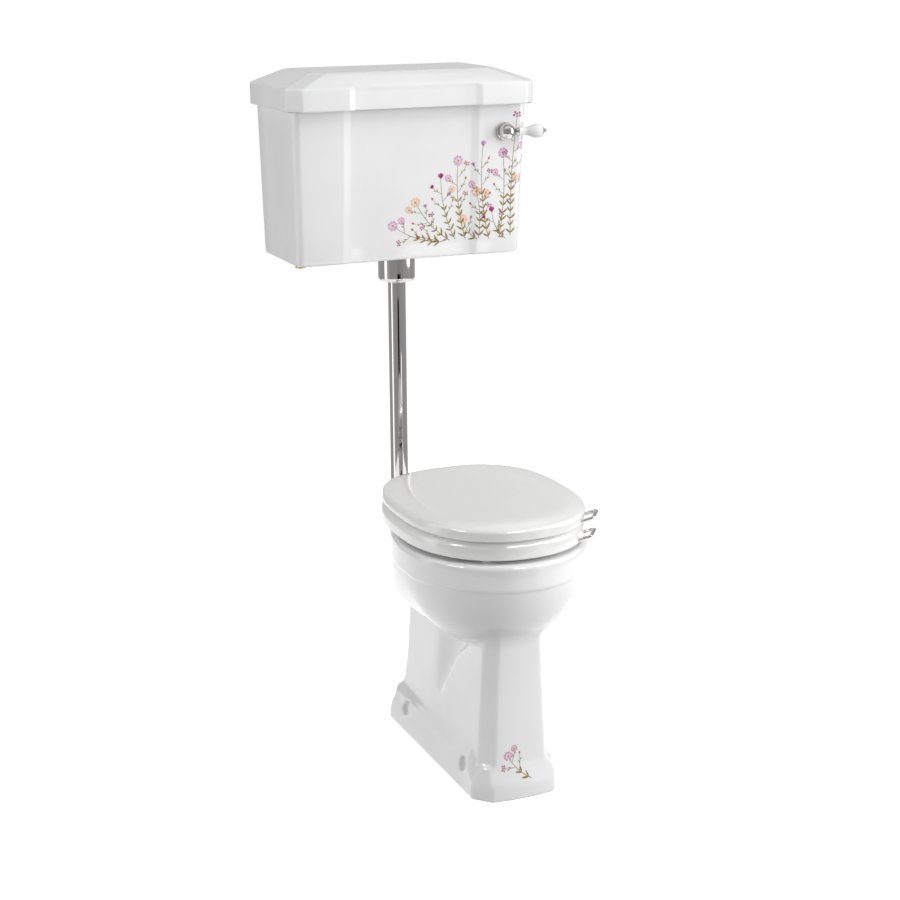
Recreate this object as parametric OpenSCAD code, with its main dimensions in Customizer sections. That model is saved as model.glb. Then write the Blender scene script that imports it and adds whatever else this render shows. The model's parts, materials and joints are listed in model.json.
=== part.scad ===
// Medium-level toilet: a china cistern on the wall, a straight chrome flush pipe, and a china pan
// on its own plinth with a hinged seat and lid.
// Millimetres, +Z up. The origin is on the floor, at the centre of the four floor-screw holes.
// The front faces -Y and the wall is the plane y = wall_y.

/* [Siting] */
// Distance from the floor-screw centre back to the wall
wall_y = 512; // [495:1:540]
// Height of the cistern's underside above the floor
cistern_z = 977; // [960:1:1080]

/* [Cistern] */
// Width at the underside
tank_w_low = 496; // [480:1:520]
// Width at the top rim
tank_w_top = 512; // [505:1:524]
// Depth at the underside
tank_d_low = 220; // [212:1:228]
// Depth at the top rim
tank_d_top = 241; // [232:1:246]
// Height from the underside to the top rim
tank_h = 323; // [310:1:360]
// Thickness of the walls
tank_wall = 12; // [9:0.5:15]
// Thickness of the floor
tank_floor = 14; // [10:0.5:18]
// Radius of the upright front corners
tank_corner_r = 16; // [6:1:24]
// Half width of the sunk front panel
panel_half = 149; // [120:1:170]
// Width of the sloped border of the panel
panel_border = 16; // [8:1:24]
// Depth of the sunk front panel
panel_depth = 4.5; // [2:0.5:6]

/* [Cistern lid] */
// Width of the lid
lid_w = 541; // [534:1:560]
// Depth of the lid, front to wall
lid_d = 265; // [258:1:280]
// Leg of the cut front corners
lid_cut = 26; // [10:1:36]
// Height of the upright sides
lid_side_h = 45.5; // [40:0.5:60]
// Height of the hipped roof above the sides
lid_roof_h = 27; // [15:1:40]
// How far the skirt hangs below the tank's rim
lid_lap = 8; // [4:1:12]
// Thickness of the lid
lid_wall = 11; // [8:0.5:14]
// Distance from the side to the flat top
lid_run_side = 70; // [40:1:90]
// Distance from the front to the flat top
lid_run_front = 53; // [35:1:70]
// Distance from the wall to the flat top
lid_run_back = 24; // [16:1:40]

/* [Flush lever] */
// Distance of the spindle from the cistern's side
lever_side = 50; // [42:1:60]
// Depth of the spindle below the cistern's rim
lever_drop = 65; // [58:1:80]
// Radius of the spindle
spindle_r = 5; // [4:0.25:6]
// Radius of the rosette on the tank
rosette_r = 18.5; // [15:0.5:24]
// Radius of the turning ball
ball_r = 17; // [14:0.5:20]
// Length of the china grip
grip_len = 49; // [35:1:60]
// Angle by which the lever is cranked away from the tank
lever_crank = 12; // [0:1:20]
// Angle of the full stroke of the lever
lever_stroke = 22; // [15:1:22]

/* [Siphon] */
// Distance of the flush outlet from the wall
outlet_back = 135; // [125:1:145]
// Distance from the outlet to the lift rod
siphon_span = 60; // [56:1:66]
// Outer radius of the piston chamber
chamber_r = 42; // [36:0.5:46]
// Height of the piston chamber
chamber_h = 82; // [80:1:95]
// Outer radius of the siphon legs
leg_r = 22; // [21:0.25:23]
// Wall of the siphon moulding
siphon_wall = 3; // [2:0.25:4]
// Outer radius of the screwed tail
tail_r = 23.9; // [23:0.1:25]
// Depth of the bend's centre below the lever's spindle
crown_drop = 85; // [80:1:95]

/* [Float valve] */
// Distance of the valve from the middle of the cistern
valve_x = 190; // [175:1:200]
// Distance of the valve from the wall
valve_back = 60; // [50:1:70]
// Outer radius of the screwed inlet tail
inlet_r = 10.5; // [9:0.1:11]
// How far the inlet tail reaches below the cistern
inlet_tail = 28; // [24:1:32]
// Length of the float arm
float_arm_len = 118; // [100:1:125]
// Radius of the float
float_r = 40; // [30:1:44]
// Angle of the arm below level when the tank is empty
float_drop = 35; // [20:1:40]

/* [Flush pipe] */
// Outer radius of the pipe
pipe_r = 19; // [16:0.5:19.5]
// Wall of the pipe
pipe_wall = 1.5; // [1:0.1:2]
// Centre-line radius of the lower bend
bend_r = 60; // [45:1:62]
// Outer radius of the shroud under the cistern
shroud_r = 39.5; // [38:0.5:46]
// Length of the shroud
shroud_h = 56; // [52:1:70]

/* [Pan] */
// Height of the rim
rim_z = 495; // [480:1:520]
// Height of the rim band
rim_band = 53; // [40:1:60]
// Half width of the rim
rim_w = 184; // [176:1:190]
// Distance of the rim's widest line in front of the origin
rim_mid = 115; // [105:1:125]
// Length of the rim in front of its widest line
rim_front = 197; // [190:1:205]
// Length of the rim behind its widest line
rim_back = 280; // [270:1:290]
// Width of the rim's flat top
rim_flat = 52; // [40:1:60]
// Depth of the bowl's outer curve below the band
bowl_drop = 170; // [160:1:180]
// Thickness of the china
china = 12; // [10:0.5:14]

/* [Foot] */
// Half width of the plinth
plinth_w = 94; // [90:1:100]
// Distance of the plinth's back edge behind the origin
plinth_back = 210; // [200:1:215]
// Distance of the plinth's front edge in front of the origin
plinth_front = 266; // [262:1:280]
// Height of the plinth's upright edge
plinth_edge = 33; // [28:1:40]
// Height at which the plinth meets the pedestal
plinth_top = 62; // [56:1:75]
// Half width of the pedestal at its foot
foot_w = 78; // [74:1:82]
// Half width of the pedestal under the bowl
neck_w = 65; // [60:1:68]
// Distance behind the origin of the crease where the pedestal's sides begin to draw in
crease_y = 5; // [-10:1:20]
// Distance between the floor screws, side to side
screw_dx = 161; // [156:1:170]
// Distance between the floor screws, front to back
screw_dy = 301; // [280:1:310]
// Radius of the floor-screw holes
screw_r = 3.5; // [3:0.25:4]
// Height of the outlet's centre
outlet_z = 190; // [180:1:200]
// Outer radius of the outlet spigot
spigot_r = 51; // [48:0.5:52]
// Radius of the trapway
trap_r = 36; // [33:0.5:38]

/* [Seat] */
// Gap between the rim and the seat ring
seat_gap = 8; // [6:0.5:12]
// Thickness of the seat ring
ring_t = 35; // [20:0.5:38]
// Half width of the seat ring
ring_w = 181; // [176:1:186]
// Half width of the opening in the seat ring
hole_w = 112; // [105:1:120]
// Gap between the seat ring and the lid
lid_gap = 3.5; // [3:0.25:6]
// Thickness of the seat lid at its crown
cover_t = 33; // [20:0.5:36]
// Half width of the seat lid
cover_w = 179; // [174:1:184]
// Radius of the hinge bar
bar_r = 5; // [4:0.25:6]
// Distance of the hinge bar behind the origin
hinge_y = 167; // [160:1:172]
// Height of the hinge bar above the rim
hinge_up = 25; // [22:0.5:28]
// Half the distance between the hinge pillars
pillar_x = 77.5; // [70:0.5:80]
// Radius of the lifting handles' rod
rod_r = 3.75; // [2.5:0.25:4]
// Distance between the arms of a lifting handle
handle_span = 50; // [40:1:60]
// Reach of the lifting handles
handle_out = 20; // [16:1:28]

/* [Hidden] */

$fn = 64;
eps = 0.01;            // overlap that joins two solids of one piece
far = 1000;            // longer than any cut
slip = 0.1;            // radial clearance of a loose fit
run = 0.05;            // radial clearance of a running fit
seat_slip = 0.3;       // clearance under a face that can lift off
thread_slip = 0.12;    // radial clearance of a screwed joint

china_colour = "white";
seat_colour = [0.94, 0.93, 0.92];
chrome_colour = [0.62, 0.62, 0.60];
brass_colour = [0.80, 0.66, 0.36];
rubber_colour = [0.16, 0.16, 0.17];
plastic_colour = [0.86, 0.87, 0.88];

// ---- shapes used by several pieces ----

// One point of a rounded outline: half width w, lengths f in front of and b behind the line y = m,
// with the squareness nf of its front half and nb of its back half
function outline_point(w, m, f, b, nf, nb, t) =
    let (c = cos(t), s = sin(t), n = s < 0 ? nf : nb, l = s < 0 ? f : b)
    [w * sign(c) * pow(abs(c), 2 / n), m + l * sign(s) * pow(abs(s), 2 / n)];

// The same outline as a ring of points at height z
function outline_ring(w, m, f, b, nf, nb, z, count) =
    [for (i = [0 : count - 1])
        let (p = outline_point(w, m, f, b, nf, nb, 360 * (i + 0.5) / count)) [p.x, p.y, z]];

// A closed skin over rings of points that all have the same count, lowest ring first
module loft(rings) {
    count = len(rings[0]);
    last = len(rings) - 1;
    polyhedron(
        points = [for (ring = rings) each ring],
        faces = [
            [for (i = [0 : count - 1]) i],
            [for (i = [0 : count - 1]) last * count + count - 1 - i],
            for (k = [0 : last - 1]) for (i = [0 : count - 1])
                let (a = k * count + i, b = k * count + (i + 1) % count)
                each [[a, a + count, b], [b, a + count, b + count]]
        ]
    );
}

// A round rod from a to b
module rod(a, b, r) {
    d = b - a;
    translate(a) rotate([0, acos(d.z / norm(d)), atan2(d.y, d.x)]) cylinder(r = r, h = norm(d));
}

// A ring with a round hole, standing on z = 0
module washer(r, hole, h) {
    difference() {
        cylinder(r = r, h = h);
        translate([0, 0, -eps]) cylinder(r = hole, h = h + 2 * eps);
    }
}

// A hexagon nut of corner radius r, standing on z = 0
module hex_nut(r, hole, h) {
    difference() {
        cylinder(r = r, h = h, $fn = 6);
        translate([0, 0, -eps]) cylinder(r = hole, h = h + 2 * eps);
    }
}

module both_sides() {
    children();
    mirror([1, 0, 0]) children();
}

// ---- cistern ----

tank_top = cistern_z + tank_h;
tank_in_z = cistern_z + tank_floor;
flush_y = wall_y - outlet_back;

function tank_half(z) =
    (tank_w_low + (tank_w_top - tank_w_low) * (z - cistern_z) / tank_h) / 2;
function tank_front(z) =
    wall_y - tank_d_low - (tank_d_top - tank_d_low) * (z - cistern_z) / tank_h;
tank_lean = atan((tank_d_top - tank_d_low) / tank_h);

// Plan of the tank at height z, drawn in by inset, as a thin slice
module tank_slice(z, inset, r) {
    w = tank_half(z) - inset;
    front = tank_front(z) + inset;
    arc = [for (a = [0 : 15 : 90]) [r * sin(a), r * cos(a)]];
    translate([0, 0, z]) linear_extrude(eps) polygon([
        [-w, wall_y - inset],
        for (p = arc) [-w + r - p.y, front + r - p.x],
        for (i = [len(arc) - 1 : -1 : 0]) [w - r + arc[i].y, front + r - arc[i].x],
        [w, wall_y - inset]
    ]);
}

// Plan of the sunk panel on a front face at y
module panel_slice(y, z) {
    translate([0, 0, z]) linear_extrude(eps) polygon([
        [-panel_half, y - 1], [panel_half, y - 1], [panel_half, y],
        [panel_half - panel_border, y + panel_depth],
        [-panel_half + panel_border, y + panel_depth], [-panel_half, y]
    ]);
}

wall_hole_r = 4.5;
wall_hole_x = 150;
wall_hole_z = cistern_z + 263;
tail_hole_r = tail_r + 2;
shank_r = inlet_r + 0.5;
inlet_hole_r = shank_r + 1;
bush_r = spindle_r + 2.6;
lever_hole_r = bush_r + 0.9;
valve_y = wall_y - valve_back;
lever_x = tank_w_top / 2 - lever_side;
lever_z = tank_top - lever_drop;

module cistern_body() {
    color(china_colour) difference() {
        hull() {
            tank_slice(cistern_z, 0, tank_corner_r);
            tank_slice(tank_top - eps, 0, tank_corner_r);
        }
        hull() {
            tank_slice(tank_in_z, tank_wall, tank_corner_r - tank_wall / 2);
            tank_slice(tank_top, tank_wall, tank_corner_r - tank_wall / 2);
        }
        hull() {
            panel_slice(tank_front(cistern_z - 1), cistern_z - 1);
            panel_slice(tank_front(tank_top + 1), tank_top + 1);
        }
        translate([0, flush_y, cistern_z - 1]) cylinder(r = tail_hole_r, h = tank_floor + 2);
        translate([-valve_x, valve_y, cistern_z - 1])
            cylinder(r = inlet_hole_r, h = tank_floor + 2);
        translate([lever_x, tank_front(lever_z) - 10, lever_z]) rotate([-90, 0, 0])
            cylinder(r = lever_hole_r, h = tank_wall + 20);
        both_sides() translate([wall_hole_x, wall_y - tank_wall - 1, wall_hole_z])
            rotate([-90, 0, 0]) cylinder(r = wall_hole_r, h = tank_wall + 2);
    }
}

lid_z = tank_top - lid_lap;
lid_front = wall_y - lid_d;

// Plan of the lid, drawn in by side, front and back, as a thin slice
module lid_slice(z, side, front, back, h = eps) {
    w = lid_w / 2 - side;
    f = lid_front + front;
    b = wall_y - back;
    translate([0, 0, z]) linear_extrude(h) polygon([
        [-w, b], [-w, f + lid_cut], [-w + lid_cut, f],
        [w - lid_cut, f], [w, f + lid_cut], [w, b]
    ]);
}

// The lid's skirt closes round the tank's rim
skirt_gap = 1.5;
skirt_side = lid_w / 2 - tank_half(tank_top) - skirt_gap;
skirt_front = tank_front(tank_top) - lid_front - skirt_gap;

module cistern_lid() {
    color(china_colour) difference() {
        union() {
            lid_slice(lid_z, 0, 0, 0, lid_side_h);
            hull() {
                lid_slice(lid_z + lid_side_h - eps, 0, 0, 0);
                lid_slice(lid_z + lid_side_h + lid_roof_h, lid_run_side, lid_run_front, lid_run_back);
            }
        }
        // the recess that drops over the tank's rim, open towards the wall
        hull() {
            tank_slice(lid_z - 1, -skirt_gap, tank_corner_r + skirt_gap);
            tank_slice(tank_top - eps, -skirt_gap, tank_corner_r + skirt_gap);
        }
        // the hollow inside
        hull() {
            lid_slice(tank_top - eps, skirt_side + tank_wall, skirt_front + tank_wall, tank_wall);
            lid_slice(lid_z + lid_side_h + lid_roof_h - lid_wall,
                lid_run_side + lid_wall, lid_run_front + lid_wall, lid_run_back + lid_wall);
        }
        // the sunk panel
        hull() {
            panel_slice(lid_front, lid_z - 1);
            panel_slice(lid_front, lid_z + lid_side_h + 1);
        }
    }
}

// ---- flush lever ----

rosette_t = 6;
bush_out = 30;         // from the tank's face to the end of the bush inside
backnut_t = 8;
backnut_r = 15;
washer_t = 2;
face_y = tank_front(lever_z);
ball_y = face_y - 13;
hub_back = face_y - rosette_t - run;
arm_w = 12;
spindle_end = flush_y + arm_w / 2 + 2;

// Everything behind the tank's leaning front face, moved inward by depth
module behind_face(depth) {
    translate([lever_x, face_y, lever_z]) rotate([tank_lean, 0, 0])
        translate([-far / 2, depth, -far / 2]) cube([far, far, far]);
}

module lever_rosette() {
    color(chrome_colour) difference() {
        union() {
            difference() {
                translate([lever_x, 0, lever_z]) rotate([90, 0, 0])
                    translate([0, 0, -face_y - 4]) rotate_extrude()
                        polygon([
                            [0, 0], [rosette_r, 0], [rosette_r, 4 + rosette_t - 3],
                            for (a = [15 : 15 : 90])
                                [rosette_r - 4 + 4 * cos(a), 4 + rosette_t - 3 + 3 * sin(a)],
                            [0, 4 + rosette_t]
                        ]);
                behind_face(-washer_t / 2);
            }
            translate([lever_x, face_y - rosette_t + 1, lever_z]) rotate([-90, 0, 0])
                cylinder(r = bush_r, h = rosette_t - 1 + bush_out);
        }
        translate([lever_x, face_y - 20, lever_z]) rotate([-90, 0, 0])
            cylinder(r = spindle_r + run, h = 100);
    }
}

// The rubber washers under the rosette and behind the tank wall follow the leaning face
module lever_washers() {
    color(rubber_colour) difference() {
        intersection() {
            translate([lever_x, face_y - 6, lever_z]) rotate([-90, 0, 0])
                cylinder(r = rosette_r - 3, h = 30);
            union() {
                difference() {
                    behind_face(-washer_t / 2);
                    behind_face(0);
                }
                difference() {
                    behind_face(tank_wall);
                    behind_face(tank_wall + washer_t);
                }
            }
        }
        translate([lever_x, face_y - 10, lever_z]) rotate([-90, 0, 0])
            cylinder(r = bush_r + slip, h = 40);
    }
}

module lever_backnut() {
    color(brass_colour) difference() {
        translate([lever_x, face_y + tank_wall - 2, lever_z]) rotate([-90, 0, 0])
            cylinder(r = backnut_r, h = backnut_t + 4, $fn = 6);
        difference() {
            translate([lever_x, face_y, lever_z]) cube([80, 80, 80], center = true);
            behind_face(tank_wall + washer_t);
        }
        translate([lever_x, face_y, lever_z]) rotate([-90, 0, 0])
            cylinder(r = bush_r + thread_slip, h = 60);
    }
}

// The lever's own axis: out of the ball along +X, cranked towards -Y
module along_lever(d) {
    translate([lever_x, ball_y, lever_z]) rotate([0, 0, -lever_crank]) rotate([0, 90, 0])
        translate([0, 0, d]) children();
}

neck_start = ball_r - 1.5;
neck_stub_r = 3.5;
neck_stub_h = 6;
grip_start = 25;
grip_end = grip_start + grip_len;
core_r = 2.5;

module lever_hub() {
    back = hub_back - ball_y;
    color(chrome_colour) difference() {
        translate([lever_x, ball_y, lever_z]) rotate([-90, 0, 0]) rotate(90) rotate_extrude() {
            intersection() {
                circle(ball_r);
                translate([0, -ball_r - 1]) square([ball_r + 1, ball_r + 1 + back]);
            }
            square([spindle_r, spindle_end - ball_y]);
        }
        along_lever(neck_start) translate([-20, -20, 0]) cube(40);
        along_lever(neck_start - neck_stub_h) cylinder(r = neck_stub_r + slip, h = 40);
    }
}

// Screwed into the ball; its core carries the grip and the finial
module lever_neck() {
    bead = 1.4;
    color(chrome_colour) along_lever(neck_start + slip) union() {
        translate([0, 0, 0.2 - neck_stub_h]) cylinder(r = neck_stub_r, h = neck_stub_h);
        cylinder(r1 = 4.5, r2 = 8.2, h = 2.6);
        translate([0, 0, 2.6 - eps]) cylinder(r1 = 8.2, r2 = 6.4, h = bead);
        translate([0, 0, 2.6 + bead - 2 * eps]) cylinder(r1 = 6.4, r2 = 7.6, h = bead);
        translate([0, 0, 2.6 + 2 * bead - 3 * eps])
            cylinder(r = 7.6, h = grip_start - neck_start - 2.6 - 2 * bead - 2 * slip);
        cylinder(r = core_r, h = grip_end + 5 - neck_start);
    }
}

// Radius of the grip at u from 0 at the neck to 1 at the finial
function grip_radius(u) = 9.4 - 1.6 * sin(180 * min(1, u / 0.45))
    + (u > 0.3 ? 4.6 * pow(sin(180 * (u - 0.3) / 0.95), 2) : 0);

module lever_grip() {
    color(china_colour) along_lever(grip_start) difference() {
        rotate_extrude() polygon([
            [0, 0],
            for (i = [0 : 14]) [grip_radius(i / 14), grip_len * i / 14],
            [0, grip_len]
        ]);
        translate([0, 0, -1]) cylinder(r = core_r + slip, h = grip_len + 2);
    }
}

module lever_finial() {
    color(chrome_colour) along_lever(grip_end + slip) difference() {
        union() {
            cylinder(r1 = 10, r2 = 8.6, h = 2.2);
            translate([0, 0, 2.2 - eps]) cylinder(r1 = 6.5, r2 = 4.6, h = 2);
            translate([0, 0, 4]) cylinder(r = 4.6, h = 2.6);
            translate([0, 0, 6.6]) sphere(4.6);
        }
        translate([0, 0, -1]) cylinder(r = core_r + thread_slip, h = 6.2);
    }
}

// ---- lift arm and link inside the tank ----

link_x = siphon_span;
link_reach = lever_x - link_x;
arm_t = 4;
link_r = 1.6;
slot_end = link_reach / cos(lever_stroke) + 3 * link_r;
clamp_r = 10;

module lift_arm() {
    color(brass_colour) difference() {
        translate([lever_x, flush_y, lever_z]) union() {
            rotate([90, 0, 0]) cylinder(r = clamp_r, h = arm_w, center = true);
            translate([-slot_end - 5, -arm_w / 2, -arm_t / 2]) cube([slot_end + 5, arm_w, arm_t]);
        }
        translate([lever_x, flush_y - 20, lever_z]) rotate([-90, 0, 0])
            cylinder(r = spindle_r + run, h = 40);
        translate([lever_x, flush_y, lever_z + spindle_r]) cylinder(r = 1.6 + slip, h = 20);
        translate([lever_x - slot_end, flush_y - link_r - 1, lever_z - 5])
            cube([slot_end - link_reach + 3 * link_r, 2 * link_r + 2, 10]);
    }
}

module lift_arm_screw() {
    color(brass_colour) translate([lever_x, flush_y, lever_z + spindle_r + run]) union() {
        cylinder(r = 1.6, h = clamp_r - spindle_r + 0.2);
        translate([0, 0, clamp_r - spindle_r + 0.2 - eps]) cylinder(r = 3.4, h = 2.4);
    }
}

rod_drop = 29;
rod_top = lever_z - rod_drop;
lift_rod_r = 3.5;
link_depth = 12;
link_nut_z = lever_z + arm_t / 2 + 0.4;

// Screwed into the top of the lift rod; its nut sits on the arm
module lift_link() {
    color(brass_colour) translate([link_x, flush_y, 0]) union() {
        translate([0, 0, rod_top - link_depth + 1])
            cylinder(r = link_r, h = link_nut_z + 8 - rod_top + link_depth - 1);
        translate([0, 0, link_nut_z]) cylinder(r = 5, h = 5, $fn = 6);
    }
}

// ---- siphon ----

chamber_z = tank_in_z + 12;
leg_in_r = leg_r - siphon_wall;
crown_z = lever_z - crown_drop;
tail_end = cistern_z - 32;
flange_r = 34;
flange_t = 6;
seal_t = 3;
gland_top = crown_z + 48;

// The inverted U: piston chamber and rising leg, bend over the top, falling leg and screwed tail
module siphon_form(grow) {
    translate([link_x, flush_y, chamber_z - (grow < 0 ? 1 : 0)]) {
        cylinder(r = chamber_r + grow, h = chamber_h + (grow < 0 ? 1 : 0));
        translate([0, 0, chamber_h + (grow < 0 ? 1 : 0) - eps])
            cylinder(r1 = chamber_r + grow, r2 = leg_r + grow, h = 22);
        cylinder(r = leg_r + grow, h = crown_z - chamber_z + (grow < 0 ? 1 : 0));
    }
    translate([link_x / 2, flush_y, crown_z]) rotate([90, 0, 0]) rotate_extrude(angle = 180)
        translate([link_x / 2, 0]) circle(leg_r + grow);
    translate([0, flush_y, tail_end - (grow < 0 ? 1 : 0)])
        cylinder(r = leg_r + grow, h = crown_z - tail_end + (grow < 0 ? 1 : 0));
}

module siphon_body() {
    color(plastic_colour) difference() {
        union() {
            siphon_form(0);
            translate([0, flush_y, tail_end]) cylinder(r = tail_r, h = tank_in_z + seal_t + 1 - tail_end);
            translate([0, flush_y, tank_in_z + seal_t]) cylinder(r = flange_r, h = flange_t);
            translate([link_x, flush_y, crown_z + 36]) cylinder(r = 8, h = gland_top - crown_z - 36);
        }
        siphon_form(-siphon_wall);
        translate([link_x, flush_y, crown_z]) cylinder(r = lift_rod_r + run, h = 80);
    }
}

module siphon_washers() {
    color(rubber_colour) translate([0, flush_y, 0]) {
        translate([0, 0, tank_in_z]) washer(flange_r, tail_r + slip, seal_t);
        translate([0, 0, cistern_z - seal_t]) washer(flange_r, tail_r + slip, seal_t);
    }
}

nut_corner_r = 34.5;
backnut_h = 11;

module siphon_backnut() {
    color(brass_colour) translate([0, flush_y, cistern_z - seal_t - backnut_h])
        hex_nut(nut_corner_r, tail_r + thread_slip, backnut_h);
}

piston_z = chamber_z + 8;
piston_r = chamber_r - siphon_wall - 1.5;

module siphon_piston() {
    color(plastic_colour) translate([link_x, flush_y, 0]) difference() {
        union() {
            translate([0, 0, piston_z]) cylinder(r = piston_r, h = 3);
            translate([0, 0, piston_z]) cylinder(r = lift_rod_r, h = rod_top - piston_z);
        }
        for (a = [0 : 60 : 300]) rotate(a)
            translate([piston_r * 0.55, 0, piston_z - 1]) cylinder(r = 7, h = 5);
        translate([0, 0, rod_top - link_depth]) cylinder(r = link_r + slip, h = link_depth + 1);
    }
}

module siphon_diaphragm() {
    color(rubber_colour) translate([link_x, flush_y, piston_z + 3])
        washer(piston_r + 0.8, lift_rod_r + slip, 0.8);
}

// ---- float valve ----

valve_h = 220;
valve_top = cistern_z + valve_h;
head_r = 13;
head_h = 34;
pivot_down = 24;
arm_hub_r = 5;
hinge_dx = head_r + arm_hub_r + 2;
arm_pivot_z = valve_top - pivot_down;
float_arm_r = 3;
stem_r = 9;
fork_gap = 9;
pin_r = 2;
heel_up = 9;
heel_r = 2;
plunger_r = 2;
plunger_z = arm_pivot_z + heel_up + 1;
plunger_out = heel_up * sin(float_drop) - heel_r - 0.2;
plunger_len = 18;
plunger_push = heel_up * sin(float_drop) + 0.2;
lug_t = 3;

inlet_nut_z = cistern_z - seal_t - 8;

module float_valve() {
    color(brass_colour) translate([-valve_x, valve_y, 0]) difference() {
        union() {
            translate([0, 0, cistern_z - inlet_tail]) cylinder(r = inlet_r, h = inlet_tail);
            translate([0, 0, inlet_nut_z - 0.5])
                cylinder(r = shank_r, h = tank_in_z + seal_t + 1.5 - inlet_nut_z);
            translate([0, 0, tank_in_z + seal_t]) cylinder(r = 17, h = 6);
            translate([0, 0, tank_in_z + seal_t]) cylinder(r = stem_r, h = valve_top - head_h + 4 - tank_in_z);
            translate([0, 0, valve_top - head_h]) cylinder(r = head_r, h = head_h);
            for (s = [-1, 1]) translate([0, s * (fork_gap + lug_t) / 2 - lug_t / 2, arm_pivot_z - 4])
                cube([hinge_dx + 4, lug_t, 8]);
        }
        translate([0, 0, cistern_z - inlet_tail - 1])
            cylinder(r = 6.5, h = valve_top - head_h - 10 - cistern_z);
        translate([hinge_dx, 0, arm_pivot_z]) rotate([90, 0, 0])
            cylinder(r = pin_r + run, h = 4 * fork_gap, center = true);
        translate([hinge_dx + plunger_out - plunger_len - plunger_push - 1, 0, plunger_z])
            rotate([0, 90, 0]) cylinder(r = plunger_r + run, h = plunger_len + plunger_push + 10);
    }
}

module float_valve_backnut() {
    color(brass_colour) translate([-valve_x, valve_y, inlet_nut_z])
        hex_nut(16, shank_r + thread_slip, 8);
}

module float_valve_washers() {
    color(rubber_colour) translate([-valve_x, valve_y, 0]) {
        translate([0, 0, tank_in_z]) washer(17, shank_r + slip, seal_t);
        translate([0, 0, cistern_z - seal_t]) washer(17, shank_r + slip, seal_t);
    }
}

module float_pin() {
    color(brass_colour) translate([-valve_x + hinge_dx, valve_y, arm_pivot_z]) rotate([90, 0, 0])
        cylinder(r = pin_r, h = fork_gap + 2 * lug_t + 3, center = true);
}

// The arm hangs at float_drop below level while the tank is empty
module along_float_arm() {
    translate([-valve_x + hinge_dx, valve_y, arm_pivot_z]) rotate([0, float_drop, 0]) children();
}

module float_arm() {
    color(brass_colour) along_float_arm() difference() {
        union() {
            rotate([90, 0, 0]) cylinder(r = arm_hub_r, h = fork_gap - 0.6, center = true);
            translate([-heel_r + 0.5, -fork_gap / 2 + 0.3, 0]) cube([2 * heel_r - 1, fork_gap - 0.6, heel_up]);
            translate([0, 0, heel_up]) rotate([90, 0, 0])
                cylinder(r = heel_r, h = fork_gap - 0.6, center = true);
            rotate([0, 90, 0]) cylinder(r = float_arm_r, h = float_arm_len - float_r * 0.6);
        }
        rotate([90, 0, 0]) cylinder(r = pin_r + run, h = 2 * fork_gap, center = true);
    }
}

module float() {
    color(plastic_colour) along_float_arm() difference() {
        translate([float_arm_len, 0, 0]) sphere(float_r);
        rotate([0, 90, 0]) cylinder(r = float_arm_r + slip, h = float_arm_len - float_r * 0.6 + slip);
    }
}

// Pushed into the valve by the arm's heel as the float rises
module valve_plunger() {
    color(brass_colour) translate([-valve_x + hinge_dx + plunger_out - plunger_len, valve_y, plunger_z])
        rotate([0, 90, 0]) cylinder(r = plunger_r, h = plunger_len);
}

// ---- flush pipe ----

pipe_flange_r = 23.5;
pipe_flange_t = 3;
pipe_washer_t = 2;
pipe_top = tail_end - pipe_washer_t;
horn_z = rim_z - 68;
horn_r = 34;
horn_bore = 27;
horn_end = 205;
cone_lip = 6;
pipe_end = horn_end - 32;
bend_z = horn_z + bend_r;
bend_y = flush_y - bend_r;
shroud_top = cistern_z - 0.3;
shroud_wall = 2;
shroud_round = 17;

module pipe_form(r) {
    translate([0, flush_y, bend_z]) cylinder(r = r, h = pipe_top - bend_z);
    translate([0, bend_y, bend_z]) rotate([90, 0, 90]) rotate([0, 0, -90])
        rotate_extrude(angle = 90) translate([bend_r, 0]) circle(r);
    translate([0, pipe_end, horn_z]) rotate([-90, 0, 0]) cylinder(r = r, h = bend_y - pipe_end);
}

module flush_pipe() {
    color(chrome_colour) difference() {
        union() {
            pipe_form(pipe_r);
            translate([0, flush_y, pipe_top - pipe_flange_t])
                cylinder(r = pipe_flange_r, h = pipe_flange_t);
        }
        pipe_form(pipe_r - pipe_wall);
        translate([0, flush_y, pipe_top - 1]) cylinder(r = pipe_r - pipe_wall, h = 2);
        translate([0, pipe_end - 1, horn_z]) rotate([-90, 0, 0])
            cylinder(r = pipe_r - pipe_wall, h = 2);
    }
}

module pipe_washer() {
    color(rubber_colour) translate([0, flush_y, pipe_top])
        washer(pipe_flange_r, pipe_r - pipe_wall, pipe_washer_t);
}

pipe_nut_low = pipe_top - pipe_flange_t - 5;
pipe_nut_h = 24;

module pipe_nut() {
    color(brass_colour) translate([0, flush_y, pipe_nut_low]) difference() {
        cylinder(r = nut_corner_r, h = pipe_nut_h, $fn = 6);
        translate([0, 0, -1]) cylinder(r = pipe_r + slip, h = 10);
        translate([0, 0, 5 - run]) cylinder(r = tail_r + thread_slip, h = pipe_nut_h);
    }
}

// A chrome cup, slid up the pipe to cover the nuts
module pipe_shroud() {
    r = shroud_r;
    q = shroud_round;
    color(chrome_colour) translate([0, flush_y, shroud_top - shroud_h]) rotate_extrude() polygon([
        [pipe_r + slip, -3], [pipe_r + 2.5, -3], [pipe_r + 2.5, 0],
        for (a = [0 : 10 : 90]) [r - q + q * sin(a), q - q * cos(a)],
        [r, shroud_h], [r - shroud_wall, shroud_h],
        for (a = [90 : -10 : 0])
            [r - q + (q - shroud_wall) * sin(a), q - (q - shroud_wall) * cos(a)],
        [pipe_r + slip, shroud_wall]
    ]);
}

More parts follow.
